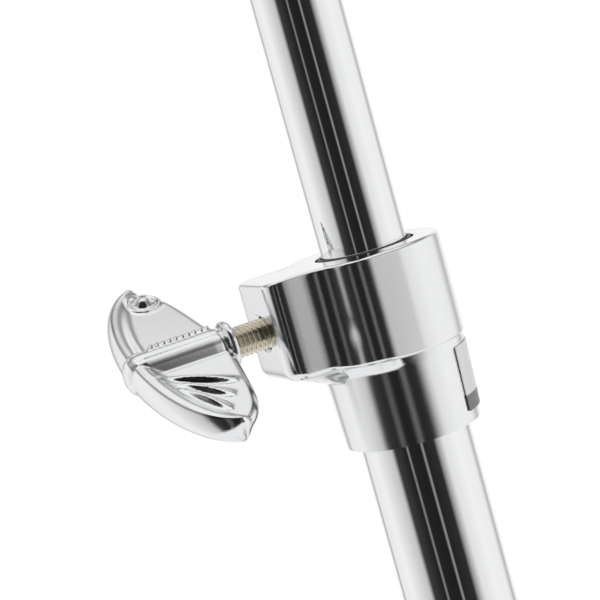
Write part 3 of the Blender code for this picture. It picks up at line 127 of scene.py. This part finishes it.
tree.links.new(place.outputs["Object"], distance.inputs[0])
tree.links.new(distance.outputs["Value"], fade.inputs["Value"])
tree.links.new(fade.outputs["Result"], share.inputs[1])
tree.links.new(seen_directly(tree.nodes, tree.links), share.inputs[0])
tree.links.new(share.outputs[0], blend.inputs["Fac"])
tree.links.new(tree.nodes["Principled BSDF"].outputs[0], blend.inputs[1])
tree.links.new(glow.outputs[0], blend.inputs[2])
tree.links.new(blend.outputs[0], tree.nodes["Material Output"].inputs["Surface"])
floor.data.materials.append(paper)

bpy.ops.mesh.primitive_cylinder_add(vertices=96, radius=0.7, depth=2.2, end_fill_type="NOTHING", location=(0, 0, 1.1))
wall = bpy.context.object
wall.name = "studio_wall"
stripes = bpy.data.materials.new("studio_stripes")
stripes.use_nodes = True
tree = stripes.node_tree
tree.nodes.remove(tree.nodes["Principled BSDF"])
place = tree.nodes.new("ShaderNodeTexCoord")
turned = tree.nodes.new("ShaderNodeMapping")
turned.inputs["Rotation"].default_value = (0, 0, math.pi / 2 - camera_turn)
split = tree.nodes.new("ShaderNodeSeparateXYZ")
angle = tree.nodes.new("ShaderNodeMath")
angle.operation = "ARCTAN2"
share = tree.nodes.new("ShaderNodeMapRange")
share.inputs["From Min"].default_value = -math.pi
share.inputs["From Max"].default_value = math.pi
ramp = tree.nodes.new("ShaderNodeValToRGB")
lit = tree.nodes.new("ShaderNodeEmission")
tree.links.new(place.outputs["Object"], turned.inputs["Vector"])
tree.links.new(turned.outputs["Vector"], split.inputs["Vector"])
tree.links.new(split.outputs["Y"], angle.inputs[0])
tree.links.new(split.outputs["X"], angle.inputs[1])
tree.links.new(angle.outputs[0], share.inputs["Value"])
tree.links.new(share.outputs["Result"], ramp.inputs["Fac"])
overhead = tree.nodes.new("ShaderNodeValToRGB")
overhead.color_ramp.elements[0].position = 0.44
overhead.color_ramp.elements[1].position = 0.49
overhead.color_ramp.elements[1].color = (0.36, 0.36, 0.37, 1)
overhead.color_ramp.elements[0].color = (1, 1, 1, 1)
for position, level in ((0.62, 0.42), (0.70, 0.95)):
    overhead.color_ramp.elements.new(position).color = (level, level, level, 1)
height = tree.nodes.new("ShaderNodeMapRange")
height.inputs["From Min"].default_value = -1.1
height.inputs["From Max"].default_value = 1.1
shade = tree.nodes.new("ShaderNodeVectorMath")
shade.operation = "MULTIPLY"
tree.links.new(split.outputs["Z"], height.inputs["Value"])
tree.links.new(height.outputs["Result"], overhead.inputs["Fac"])
tree.links.new(ramp.outputs["Color"], shade.inputs[0])
tree.links.new(overhead.outputs["Color"], shade.inputs[1])
tree.links.new(shade.outputs["Vector"], lit.inputs["Color"])
tree.links.new(lit.outputs[0], tree.nodes["Material Output"].inputs["Surface"])
# Degrees round from the side opposite the camera, each with how bright the wall is there
room = [
    (0, 1.0), (22, 0.92), (34, 0.45), (44, 0.92), (78, 1.0), (100, 0.82), (122, 0.62), (130, 0.05), (154, 0.015),
    (157, 0.30), (160, 0.02), (183, 0.015), (187, 0.34), (190, 0.02), (212, 0.03), (219, 0.38), (232, 0.86),
    (262, 1.0), (300, 0.96), (318, 0.50), (330, 0.95), (360, 1.0),
]
while len(ramp.color_ramp.elements) < len(room):
    ramp.color_ramp.elements.new(0.5)
for stop, (degrees, level) in zip(ramp.color_ramp.elements, room):
    stop.position = degrees / 360
    stop.color = (level, level * 0.995, level * 0.985, 1)
wall.data.materials.append(stripes)
wall.visible_camera = False
wall.visible_diffuse = False
wall.visible_shadow = False
wall.visible_transmission = False

lamp_data = bpy.data.lights.new("soft_lamp", "AREA")
lamp_data.energy = 9
lamp_data.size = 1.2
lamp = bpy.data.objects.new("soft_lamp", lamp_data)
lamp.location = (-1.1, -0.9, 1.9)
lamp.rotation_euler = (Vector(lamp.location) - Vector((0, 0, 0.5))).to_track_quat("Z", "Y").to_euler()
lamp.visible_glossy = False
bpy.context.scene.collection.objects.link(lamp)


# Finishes. Every metal of the stand is plated or polished, and handling leaves faint uneven marks on it.
# The marks are one group, placed in each finish with its own size and depth.
marks = bpy.data.node_groups.new("Surface marks", "ShaderNodeTree")
marks.interface.new_socket("Scale", in_out="INPUT", socket_type="NodeSocketFloat")
marks.interface.new_socket("Stretch", in_out="INPUT", socket_type="NodeSocketFloat")
marks.interface.new_socket("Roughness Low", in_out="INPUT", socket_type="NodeSocketFloat")
marks.interface.new_socket("Roughness High", in_out="INPUT", socket_type="NodeSocketFloat")
marks.interface.new_socket("Roughness", in_out="OUTPUT", socket_type="NodeSocketFloat")
marks.interface.new_socket("Height", in_out="OUTPUT", socket_type="NodeSocketFloat")
given = marks.nodes.new("NodeGroupInput")
made = marks.nodes.new("NodeGroupOutput")
place = marks.nodes.new("ShaderNodeTexCoord")
long_way = marks.nodes.new("ShaderNodeCombineXYZ")
long_way.inputs["X"].default_value = 1
long_way.inputs["Y"].default_value = 1
stretched = marks.nodes.new("ShaderNodeVectorMath")
stretched.operation = "MULTIPLY"
cloud = marks.nodes.new("ShaderNodeTexNoise")
cloud.inputs["Detail"].default_value = 5
uneven = marks.nodes.new("ShaderNodeMapRange")
uneven.inputs["From Min"].default_value = 0.35
uneven.inputs["From Max"].default_value = 0.65
marks.links.new(given.outputs["Stretch"], long_way.inputs["Z"])
marks.links.new(place.outputs["Object"], stretched.inputs[0])
marks.links.new(long_way.outputs["Vector"], stretched.inputs[1])
marks.links.new(stretched.outputs["Vector"], cloud.inputs["Vector"])
marks.links.new(given.outputs["Scale"], cloud.inputs["Scale"])
marks.links.new(cloud.outputs["Fac"], uneven.inputs["Value"])
marks.links.new(given.outputs["Roughness Low"], uneven.inputs["To Min"])
marks.links.new(given.outputs["Roughness High"], uneven.inputs["To Max"])
marks.links.new(uneven.outputs["Result"], made.inputs["Roughness"])
marks.links.new(cloud.outputs["Fac"], made.inputs["Height"])


def finish(name, colour, metallic, low, high, scale, stretch=1.0, grain=0.0, sheen=0.0):
    """A finish with uneven roughness, and a grain whose depth is in metres."""
    made = bpy.data.materials.new(name)
    made.use_nodes = True
    nodes, links = made.node_tree.nodes, made.node_tree.links
    shader = nodes["Principled BSDF"]
    shader.inputs["Base Color"].default_value = (*colour, 1)
    shader.inputs["Metallic"].default_value = metallic
    shader.inputs["Sheen Weight"].default_value = sheen
    worn = nodes.new("ShaderNodeGroup")
    worn.node_tree = marks
    worn.inputs["Scale"].default_value = scale
    worn.inputs["Stretch"].default_value = stretch
    worn.inputs["Roughness Low"].default_value = low
    worn.inputs["Roughness High"].default_value = high
    links.new(worn.outputs["Roughness"], shader.inputs["Roughness"])
    if grain:
        bump = nodes.new("ShaderNodeBump")
        bump.inputs["Strength"].default_value = 1.0
        bump.inputs["Distance"].default_value = grain
        links.new(worn.outputs["Height"], bump.inputs["Height"])
        links.new(bump.outputs["Normal"], shader.inputs["Normal"])
    return made


tube_chrome = finish("tube_chrome", (0.86, 0.87, 0.88), 1.0, 0.02, 0.05, 220, 0.05)
cast_chrome = finish("cast_chrome", (0.84, 0.85, 0.86), 1.0, 0.04, 0.10, 6000, 1.0, 0.000015)
pressed_chrome = finish("pressed_chrome", (0.83, 0.84, 0.85), 1.0, 0.06, 0.12, 160, 0.3, 0.00002)
alloy = finish("polished_alloy_cast", (0.74, 0.75, 0.77), 1.0, 0.16, 0.30, 320, 1.0, 0.00004)
nickel = finish("nickel_steel", (0.74, 0.69, 0.58), 1.0, 0.14, 0.26, 900, 1.0, 0.00001)
rod_steel = finish("ground_rod", (0.80, 0.80, 0.79), 1.0, 0.10, 0.18, 400, 0.04)
nylon = finish("black_nylon_moulded", (0.018, 0.018, 0.02), 0.0, 0.35, 0.5, 700, 1.0, 0.00002)
brass = finish("brass_turned", (0.72, 0.52, 0.22), 1.0, 0.2, 0.32, 500)
rubber = finish("black_rubber_moulded", (0.016, 0.016, 0.017), 0.0, 0.55, 0.8, 420, 1.0, 0.00008)
felt = finish("pressed_grey_felt", (0.33, 0.33, 0.34), 0.0, 0.9, 1.0, 1500, 1.0, 0.0006, 0.5)


def show(name, bm, look, body, nodes, sharp=32):
    """Makes a finished mesh a piece of the stand in place of its plain solid."""
    bmesh.ops.recalc_face_normals(bm, faces=bm.faces)
    mesh = bpy.data.meshes.new(name)
    bm.to_mesh(mesh)
    bm.free()
    mesh.materials.append(look)
    mesh.shade_smooth()
    mesh.set_sharp_from_angle(angle=math.radians(sharp))
    piece = bpy.data.objects.new(name, mesh)
    bpy.context.scene.collection.objects.link(piece)
    if body:
        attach(piece, body)
        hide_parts(*nodes)
    return piece


def turned_part(profile, sides):
    """A part turned on a lathe, from a closed loop of radius and height."""
    bm = bmesh.new()
    rings = []
    for r, z in profile:
        row = [(r * math.cos(math.tau * k / sides), r * math.sin(math.tau * k / sides), z) for k in range(sides)]
        rings.append([bm.verts.new(p) for p in row])
    for one, other in zip(rings, rings[1:] + rings[:1]):
        for k in range(sides):
            j = (k + 1) % sides
            bm.faces.new((one[k], one[j], other[j], other[k]))
    return bm


# The two tubes: drawn steel, polished and chromed, the inner one sliding in the outer.
# Their ends are cut square with the burr taken off.
def tube(name, radius, low, high, body):
    wall_thick, edge = 0.0012, 0.0002
    inner = radius - wall_thick
    profile = [
        (inner + edge, high), (radius - edge, high), (radius, high - edge), (radius, low + edge),
        (radius - edge, low), (inner + edge, low), (inner, low + edge), (inner, high - edge),
    ]
    return show(name + "_polished", turned_part(profile, 144), tube_chrome, body, [name])


tube("upper_tube", 0.0111, 0.440, 0.860, "mast")
tube("lower_tube", 0.0143, 0.1703, collar_z + 0.0267, "stand")


# The height collar: die-cast, chromed, with a round head that runs out to a square boss for the bolt.
# The head steps down through a sloping underside to a drafted sleeve over the outer tube.
head_r, boss_reach, boss_half, corner = 0.0191, 0.0322, 0.0115, 0.0038
head_low, head_high, bolt_z = 0.0234, 0.0484, 0.0359


# Half the head's plan: a flat front, an S-shaped shoulder, the boss's flank, its corner and its face
shoulder_near, shoulder_far, arc_steps = -0.0070, -0.0225, 24
shoulder_run, shoulder_rise = shoulder_near - shoulder_far, head_r - boss_half
swing = 2 * math.atan(shoulder_rise / shoulder_run)
bow = shoulder_run / (2 * math.sin(swing))
plan = [Vector((0, head_r))]
for k in range(arc_steps + 1):
    a = swing * k / arc_steps
    plan.append(Vector((shoulder_near - bow * math.sin(a), head_r - bow * (1 - math.cos(a)))))
for k in range(1, arc_steps + 1):
    a = swing * (1 - k / arc_steps)
    plan.append(Vector((shoulder_far + bow * math.sin(a), boss_half + bow * (1 - math.cos(a)))))
for k in range(arc_steps + 1):
    a = math.pi / 2 * (1 + k / arc_steps)
    centre = Vector((corner - boss_reach, boss_half - corner))
    plan.append(centre + corner * Vector((math.cos(a), math.sin(a))))
plan.append(Vector((-boss_reach, -0.001)))


def head_outline(angle):
    """How far the head reaches in a direction: round at the back, shoulders and boss in front."""
    ray = Vector((math.cos(angle), abs(math.sin(angle))))
    for near, far in zip(plan, plan[1:]):
        if ray.cross(near) <= 0 <= ray.cross(far):
            side = far - near
            return near.cross(side) / ray.cross(side)
    return head_r


around = [math.tau * k / 288 for k in range(288)]
reach = [head_outline(a) for a in around]
sleeve_r, sleeve_low_r, rounding = 0.0183, 0.0176, 0.0011
levels = []


def collar_ring(height, radius):
    """A ring of the casting: height and radius are numbers or lists round the outline."""
    count = len(around)
    heights = height if isinstance(height, list) else [height] * count
    radii = radius if isinstance(radius, list) else [radius] * count
    levels.append([(r * math.cos(a), r * math.sin(a), collar_z + h) for a, r, h in zip(around, radii, heights)])


bore, bush_bore = 0.0146, 0.0150
collar_ring(0.0, bore)
for k in range(5):
    bend = math.pi / 2 * k / 4
    collar_ring(rounding * (1 - math.sin(bend)) if k else 0.0, sleeve_low_r - rounding * (1 - math.sin(bend)))
levels.pop()
collar_ring(rounding, sleeve_low_r)
rim = [head_low - 0.0015 * max(0.0, 1 - (r - head_r) / 0.006) for r in reach]
drop = [(r - sleeve_r) * 0.27 + 0.0013 for r in reach]
collar_ring([low - d - 0.0012 for low, d in zip(rim, drop)], sleeve_r - 0.0001)
collar_ring([low - d for low, d in zip(rim, drop)], sleeve_r + 0.0003)
lip = [min(0.0036, 0.0008 + (r - head_r) * 0.28) for r in reach]
for k in range(7):
    bend = math.pi / 2 * k / 6
    heights = [low + lp * (0.9 - math.cos(bend)) for low, lp in zip(rim, lip)]
    collar_ring(heights, [r - lp * (1 - math.sin(bend)) for r, lp in zip(reach, lip)])
for k in range(6):
    bend = math.pi / 2 * k / 5
    collar_ring(head_high - rounding * (1 - math.sin(bend)), [r - rounding * (1 - math.cos(bend)) for r in reach])
mouth = 0.0129
collar_ring(head_high, mouth + 0.0002)
collar_ring(head_high - 0.0002, mouth)
collar_ring(head_high - 0.0012, mouth)
collar_ring(head_high - 0.0012, bush_bore)
collar_ring(0.0270, bush_bore)
collar_ring(0.0270, bore)
bm = bmesh.new()
rows = [[bm.verts.new(p) for p in row] for row in levels]
for one, other in zip(rows, rows[1:] + rows[:1]):
    for k in range(len(one)):
        j = (k + 1) % len(one)
        bm.faces.new((one[k], one[j], other[j], other[k]))
collar = show("height_collar_cast", bm, cast_chrome, "stand", ["height_collar"], 38)

hole = bmesh.new()
sides = 64
steps = [(0.0043, -0.012), (0.0043, -boss_reach + 0.0007), (0.0052, -boss_reach - 0.0002), (0.0052, -0.036)]
rings = []
for r, x in steps:
    ring = [math.tau * k / sides for k in range(sides)]
    rings.append([hole.verts.new((x, r * math.cos(a), collar_z + bolt_z + r * math.sin(a))) for a in ring])
for one, other in zip(rings, rings[1:]):
    for k in range(sides):
        j = (k + 1) % sides
        hole.faces.new((one[k], one[j], other[j], other[k]))
hole.faces.new(rings[0])
hole.faces.new(rings[-1])
drill = show("bolt_drill", hole, cast_chrome, None, [])
step = collar.modifiers.new("bolt hole", "BOOLEAN")
step.operation = "DIFFERENCE"
step.object = drill
step.solver = "EXACT"
bpy.context.view_layer.objects.active = collar
bpy.ops.object.modifier_apply(modifier=step.name)
bpy.data.objects.remove(drill)
collar.data.shade_smooth()
collar.data.set_sharp_from_angle(angle=math.radians(38))


# The bushing: moulded black nylon, a split sleeve between the collar and the inner tube.
# Only its rim shows round the tube at the collar's top.
top = collar_z + head_high
profile = [
    (0.0114, top + 0.0001), (0.0119, top + 0.0001), (0.0122, top - 0.0002), (0.0122, top - 0.0016),
    (0.0147, top - 0.0016), (0.0147, collar_z + 0.0273), (0.0114, collar_z + 0.0273),
]
show("height_bushing_moulded", turned_part(profile, 96), nylon, "stand", ["height_bushing"])


# The label: a small bare plate bent round the sleeve's side and glued on, slightly raised at its edge.
# It is white with one plain grey band.
label = bmesh.new()
columns, stand_off, label_thick = 30, 0.00012, 0.00035
rings = []
for k in range(columns + 1):
    a = math.radians(-58 + 66 * k / columns)
    low, high = collar_z + 0.0030, collar_z + 0.0196
    low_r, high_r = sleeve_low_r + 0.0001 + stand_off, sleeve_r + stand_off
    loop = [(low_r, low), (low_r + label_thick, low), (high_r + label_thick, high), (high_r, high)]
    rings.append([label.verts.new((r * math.cos(a), r * math.sin(a), z)) for r, z in loop])
for one, other in zip(rings, rings[1:]):
    for k in range(4):
        j = (k + 1) % 4
        label.faces.new((one[k], one[j], other[j], other[k]))
label.faces.new(rings[0])
label.faces.new(rings[-1])
plate_white = finish("label_white", (0.86, 0.86, 0.85), 0.0, 0.25, 0.4, 300)
tree = plate_white.node_tree
place = tree.nodes.new("ShaderNodeTexCoord")
split = tree.nodes.new("ShaderNodeSeparateXYZ")
band = tree.nodes.new("ShaderNodeMapRange")
band.interpolation_type = "STEPPED"
band.inputs["Steps"].default_value = 1
band.inputs["From Min"].default_value = collar_z + 0.0070
band.inputs["From Max"].default_value = collar_z + 0.0071
mixed = tree.nodes.new("ShaderNodeMix")
mixed.data_type = "RGBA"
mixed.inputs["A"].default_value = (0.20, 0.20, 0.21, 1)
mixed.inputs["B"].default_value = (0.86, 0.86, 0.85, 1)
tree.links.new(place.outputs["Object"], split.inputs["Vector"])
tree.links.new(split.outputs["Z"], band.inputs["Value"])
tree.links.new(band.outputs["Result"], mixed.inputs["Factor"])
tree.links.new(mixed.outputs["Result"], tree.nodes["Principled BSDF"].inputs["Base Color"])
label_piece = show("sleeve_label", label, plate_white, None, [])
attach(label_piece, "stand")


# The studs: nickel-plated steel with a rolled coarse thread, pressed into the wings.
# The thread is one helix, cut back a little at its crests.
def threaded(name, radius, pitch, low, high, frame_matrix, body, node):
    depth, sides = pitch * 0.5, 64
    rows_per_turn = 16
    count = int((high - low) / pitch * rows_per_turn)
    bm = bmesh.new()
    rings = []
    for i in range(count + 1):
        z = low + (high - low) * i / count
        ring = []
        for k in range(sides):
            phase = (z / pitch - k / sides) % 1.0
            rise = min(1.0, max(0.0, (1 - abs(2 * phase - 1)) * 1.5 - 0.2))
            fade = min(1.0, (z - low) / pitch)
            r = radius - depth * (1 - rise * fade)
            a = math.tau * k / sides
            ring.append(bm.verts.new(frame_matrix @ Vector((r * math.cos(a), r * math.sin(a), z))))
        rings.append(ring)
    for one, other in zip(rings, rings[1:]):
        for k in range(sides):
            j = (k + 1) % sides
            bm.faces.new((one[k], one[j], other[j], other[k]))
    bm.faces.new(rings[0])
    bm.faces.new(rings[-1])
    return show(name, bm, nickel, body, [node], 80)


wing_turn = math.radians(65.4)
stand_off = 0.0082


def bolt_frame(origin, outward, spread, wing_angle):
    """The wing's own frame: Z leaves the clamp and X runs out along one wing."""
    out, side = Vector(outward), Vector(spread)
    across = out.cross(side)
    x = math.cos(wing_angle) * side + math.sin(wing_angle) * across
    y = out.cross(x)
    rotation = Matrix((x, y, out)).transposed().to_4x4()
    return Matrix.Translation(Vector(origin) + out * stand_off) @ rotation


height_frame = bolt_frame((-boss_reach, 0, collar_z + bolt_z), (-1, 0, 0), (0, 0, 1), wing_turn)
leg_out = Vector((math.cos(math.radians(150)), math.sin(math.radians(150)), 0))
leg_frame = bolt_frame(leg_out * 0.030 + Vector((0, 0, 0.440)), leg_out, (0, 0, -1), wing_turn)
threaded("height_stud_thread", 0.0040, 0.00125, -0.0237, 0.0004, height_frame, "height_bolt", "height_stud")
threaded("leg_stud_thread", 0.0040, 0.00125, -0.0233, 0.0004, leg_frame, "leg_bolt", "leg_stud")


# The wing handles: zinc die castings, chromed, with a barrel for the stud and two swept wings.
# One face of each wing has three ridges for the thumb, the other a round button in a raised ring.
wing_length, half_span = 0.0278, 0.0352


def smooth_step(low, high, value):
    share = min(1.0, max(0.0, (value - low) / (high - low)))
    return share * share * (3 - 2 * share)


def near_line(point, start, end):
    """Distance from a point to a line between two others, and how far along it that is."""
    along = end - start
    share = min(1.0, max(0.0, (point - start).dot(along) / along.length_squared))
    return (point - (start + along * share)).length, share


def wing_surface(x, z, front, rear, face):
    """Half the wing's thickness on one face, at a place on it."""
    out = abs(x) / half_span
    hand = 1 if x >= 0 else -1
    web = 0.0022 - 0.0005 * out
    bow = smooth_step(0.0072, 0.0028, rear - z)
    height = web + (0.0044 - 0.0010 * out - web) * bow
    if hand == face:
        for k in range(3):
            start = Vector((0.0085 + 0.0034 * k, wing_length * (0.80 - 0.04 * k)))
            end = Vector((0.0175 + 0.0048 * k, wing_length * (0.27 + 0.11 * k)))
            distance, share = near_line(Vector((abs(x), z)), start, end)
            height += 0.0016 * math.exp(-((distance / 0.00105) ** 2)) * math.sin(math.pi * (0.15 + 0.75 * share))
    else:
        from_button = (Vector((abs(x), z)) - Vector((half_span * 0.79, wing_length * 0.43))).length
        height += 0.0007 * math.exp(-(((from_button - 0.0040) / 0.0006) ** 2))
        height += 0.0019 * smooth_step(0.0034, 0.0006, from_button)
    edge = min(z - front, rear - z)
    soft = 0.0022
    if edge < soft:
        height *= math.sqrt(max(0.0, 1 - (1 - edge / soft) ** 2))
    return height


wing = bmesh.new()
across_count, deep_count = 132, 56
grid = {}
for face in (1, -1):
    for i in range(across_count + 1):
        share = math.sin(math.pi / 2 * (2 * i / across_count - 1)) * 0.9998
        out = abs(share)
        rear = wing_length * (0.450 + 0.550 * math.sqrt(1 - share**2))
        front = wing_length * (0.036 + 0.198 * out + 0.216 * out**8)
        for j in range(deep_count + 1):
            v = 0.5 - 0.5 * math.cos(math.pi * j / deep_count)
            z = front + (rear - front) * v
            x = share * half_span
            y = face * wing_surface(x, z, front, rear, face)
            grid[face, i, j] = wing.verts.new((x, y, z))
for face in (1, -1):
    for i in range(across_count):
        for j in range(deep_count):
            wing.faces.new((grid[face, i, j], grid[face, i + 1, j], grid[face, i + 1, j + 1], grid[face, i, j + 1]))
for i in range(across_count):
    for j in (0, deep_count):
        wing.faces.new((grid[1, i, j], grid[1, i + 1, j], grid[-1, i + 1, j], grid[-1, i, j]))
for j in range(deep_count):
    for i in (0, across_count):
        wing.faces.new((grid[1, i, j], grid[1, i, j + 1], grid[-1, i, j + 1], grid[-1, i, j]))
bmesh.ops.remove_doubles(wing, verts=wing.verts, dist=0.000002)

# The barrel is turned about the bolt, with its flange, a groove behind it and a domed end
barrel = [
    (0.0001, 0.0), (0.0052, 0.0), (0.0062, 0.0006), (0.0063, 0.0016), (0.0060, 0.0022), (0.0046, 0.0026),
    (0.0046, 0.0033), (0.0054, 0.0039), (0.0055, 0.0060), (0.0054, wing_length * 0.84),
    (0.0051, wing_length * 0.93), (0.0040, wing_length * 0.985), (0.0022, wing_length * 1.02),
    (0.0001, wing_length * 1.03),
]
turned = turned_part(barrel, 48)
parts = bpy.data.meshes.new("barrel")
turned.to_mesh(parts)
turned.free()
wing.from_mesh(parts)
# A rope of small beads lies along the barrel on each side, in the corner of the ridged face
for hand in (1, -1):
    for k in range(10):
        bead = bmesh.ops.create_uvsphere(wing, u_segments=10, v_segments=8, radius=0.0010)["verts"]
        place = Vector((hand * -0.0022, hand * 0.0050, 0.0055 + 0.00165 * k))
        squash = Matrix.Rotation(math.radians(35), 4, "Y") @ Matrix.Diagonal((1.5, 0.9, 0.75, 1))
        bmesh.ops.transform(wing, matrix=Matrix.Translation(place) @ squash, verts=bead)
casting = show("wing_casting", wing, cast_chrome, None, [])
for kind in ("REMESH", "SMOOTH"):
    step = casting.modifiers.new(kind.lower(), kind)
    if kind == "REMESH":
        step.mode = "VOXEL"
        step.voxel_size = 0.00026
    else:
        step.factor = 0.5
        step.iterations = 3
    bpy.context.view_layer.objects.active = casting
    bpy.ops.object.modifier_apply(modifier=step.name)


def cast_copy(name, matrix, body, node):
    """A copy of the wing casting, put in its place."""
    bm = bmesh.new()
    bm.from_mesh(casting.data)
    bmesh.ops.transform(bm, matrix=matrix, verts=bm.verts)
    return show(name, bm, cast_chrome, body, [node], 180)


cast_copy("height_wing_cast", height_frame, "height_bolt", "height_wing")
cast_copy("leg_wing_cast", leg_frame, "leg_bolt", "leg_wing")
bpy.data.objects.remove(casting)


# The felts: pressed grey wool punched into washers, one under the cymbal and two in the clutch.
# Their edges have gone round with use and their faces are slightly uneven.
def felt_washer(node, body):
    low, high = (Vector(corner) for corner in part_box(node))
    middle = (low + high) / 2
    outer = (high.x - low.x) / 2
    bore = min((v.co.xy - middle.xy).length for v in frame["nodes"][node].data.vertices)
    half, soft = (high.z - low.z) / 2, 0.0016
    profile = []
    for r, z, turn in ((outer, half, 0), (bore, half, 90), (bore, -half, 180), (outer, -half, 270)):
        inward = soft * 0.5 if r == bore else soft
        centre_r = r + inward if r == bore else r - inward
        centre_z = z - inward if z > 0 else z + inward
        for k in range(7):
            a = math.radians(turn + 15 * k)
            profile.append((centre_r + inward * math.cos(a), centre_z + inward * math.sin(a)))
    bm = turned_part(profile, 144)
    bmesh.ops.subdivide_edges(bm, edges=[e for e in bm.edges if e.calc_length() > 0.002], cuts=3, use_grid_fill=True)
    for vert in bm.verts:
        pressed_in = 0.00022 * (0.5 + 0.5 * noise.noise(vert.co * 900)) + 0.0001 * (1 + noise.noise(vert.co * 260))
        radial = Vector((vert.co.x, vert.co.y, 0))
        side = radial.normalized() * (1 if radial.length > (outer + bore) / 2 else -1)
        face = Vector((0, 0, 1 if vert.co.z > 0 else -1))
        share = min(1.0, max(0.0, (half - abs(vert.co.z)) / soft))
        vert.co -= (side * share + face * (1 - share)) * pressed_in
    bmesh.ops.translate(bm, vec=middle, verts=bm.verts)
    piece = show(node + "_pressed", bm, felt, body, [node], 80)


# Every other piece keeps its solid's shape, with its facets smoothed and its own finish.
# Each is a copy whose loose triangles are merged, so that round sides shade as round.
looks = {"polished_alloy": alloy, "black_nylon": nylon, "brass": brass, "black_rubber": rubber, "grey_felt": felt}
pressed = ("leg_1", "leg_2", "leg_3", "strut_1", "strut_2", "strut_3")
ground = ("upper_rod", "lower_rod", "return_spring", "heel_pin")
remade = {
    "upper_tube", "lower_tube", "height_collar", "height_bushing", "height_stud", "leg_stud", "height_wing", "leg_wing",
}
slot_of = {entry["node"]: entry["material_slot"] for entry in frame["record"]["subparts"]}
for body, nodes in frame["record"]["behaviour"]["bodies"].items():
    for node in nodes:
        if node in remade:
            continue
        slot = slot_of[node]
        if slot == "grey_felt":
            felt_washer(node, body)
            continue
        look = looks.get(slot, cast_chrome if slot == "chrome" else nickel)
        if node in pressed:
            look = pressed_chrome
        elif node in ground or node.startswith("radius_rod"):
            look = rod_steel
        bm = bmesh.new()
        bm.from_mesh(frame["nodes"][node].data)
        bmesh.ops.remove_doubles(bm, verts=bm.verts, dist=0.000004)
        mesh = bpy.data.meshes.new(node + "_finished")
        bm.to_mesh(mesh)
        bm.free()
        mesh.materials.clear()
        mesh.materials.append(look)
        mesh.shade_smooth()
        mesh.set_sharp_from_angle(angle=math.radians(32))
        piece = bpy.data.objects.new(node + "_finished", mesh)
        bpy.context.scene.collection.objects.link(piece)
        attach(piece, body)
        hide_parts(node)
        if node == "return_spring":
            low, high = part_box(node)
            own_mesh(piece)
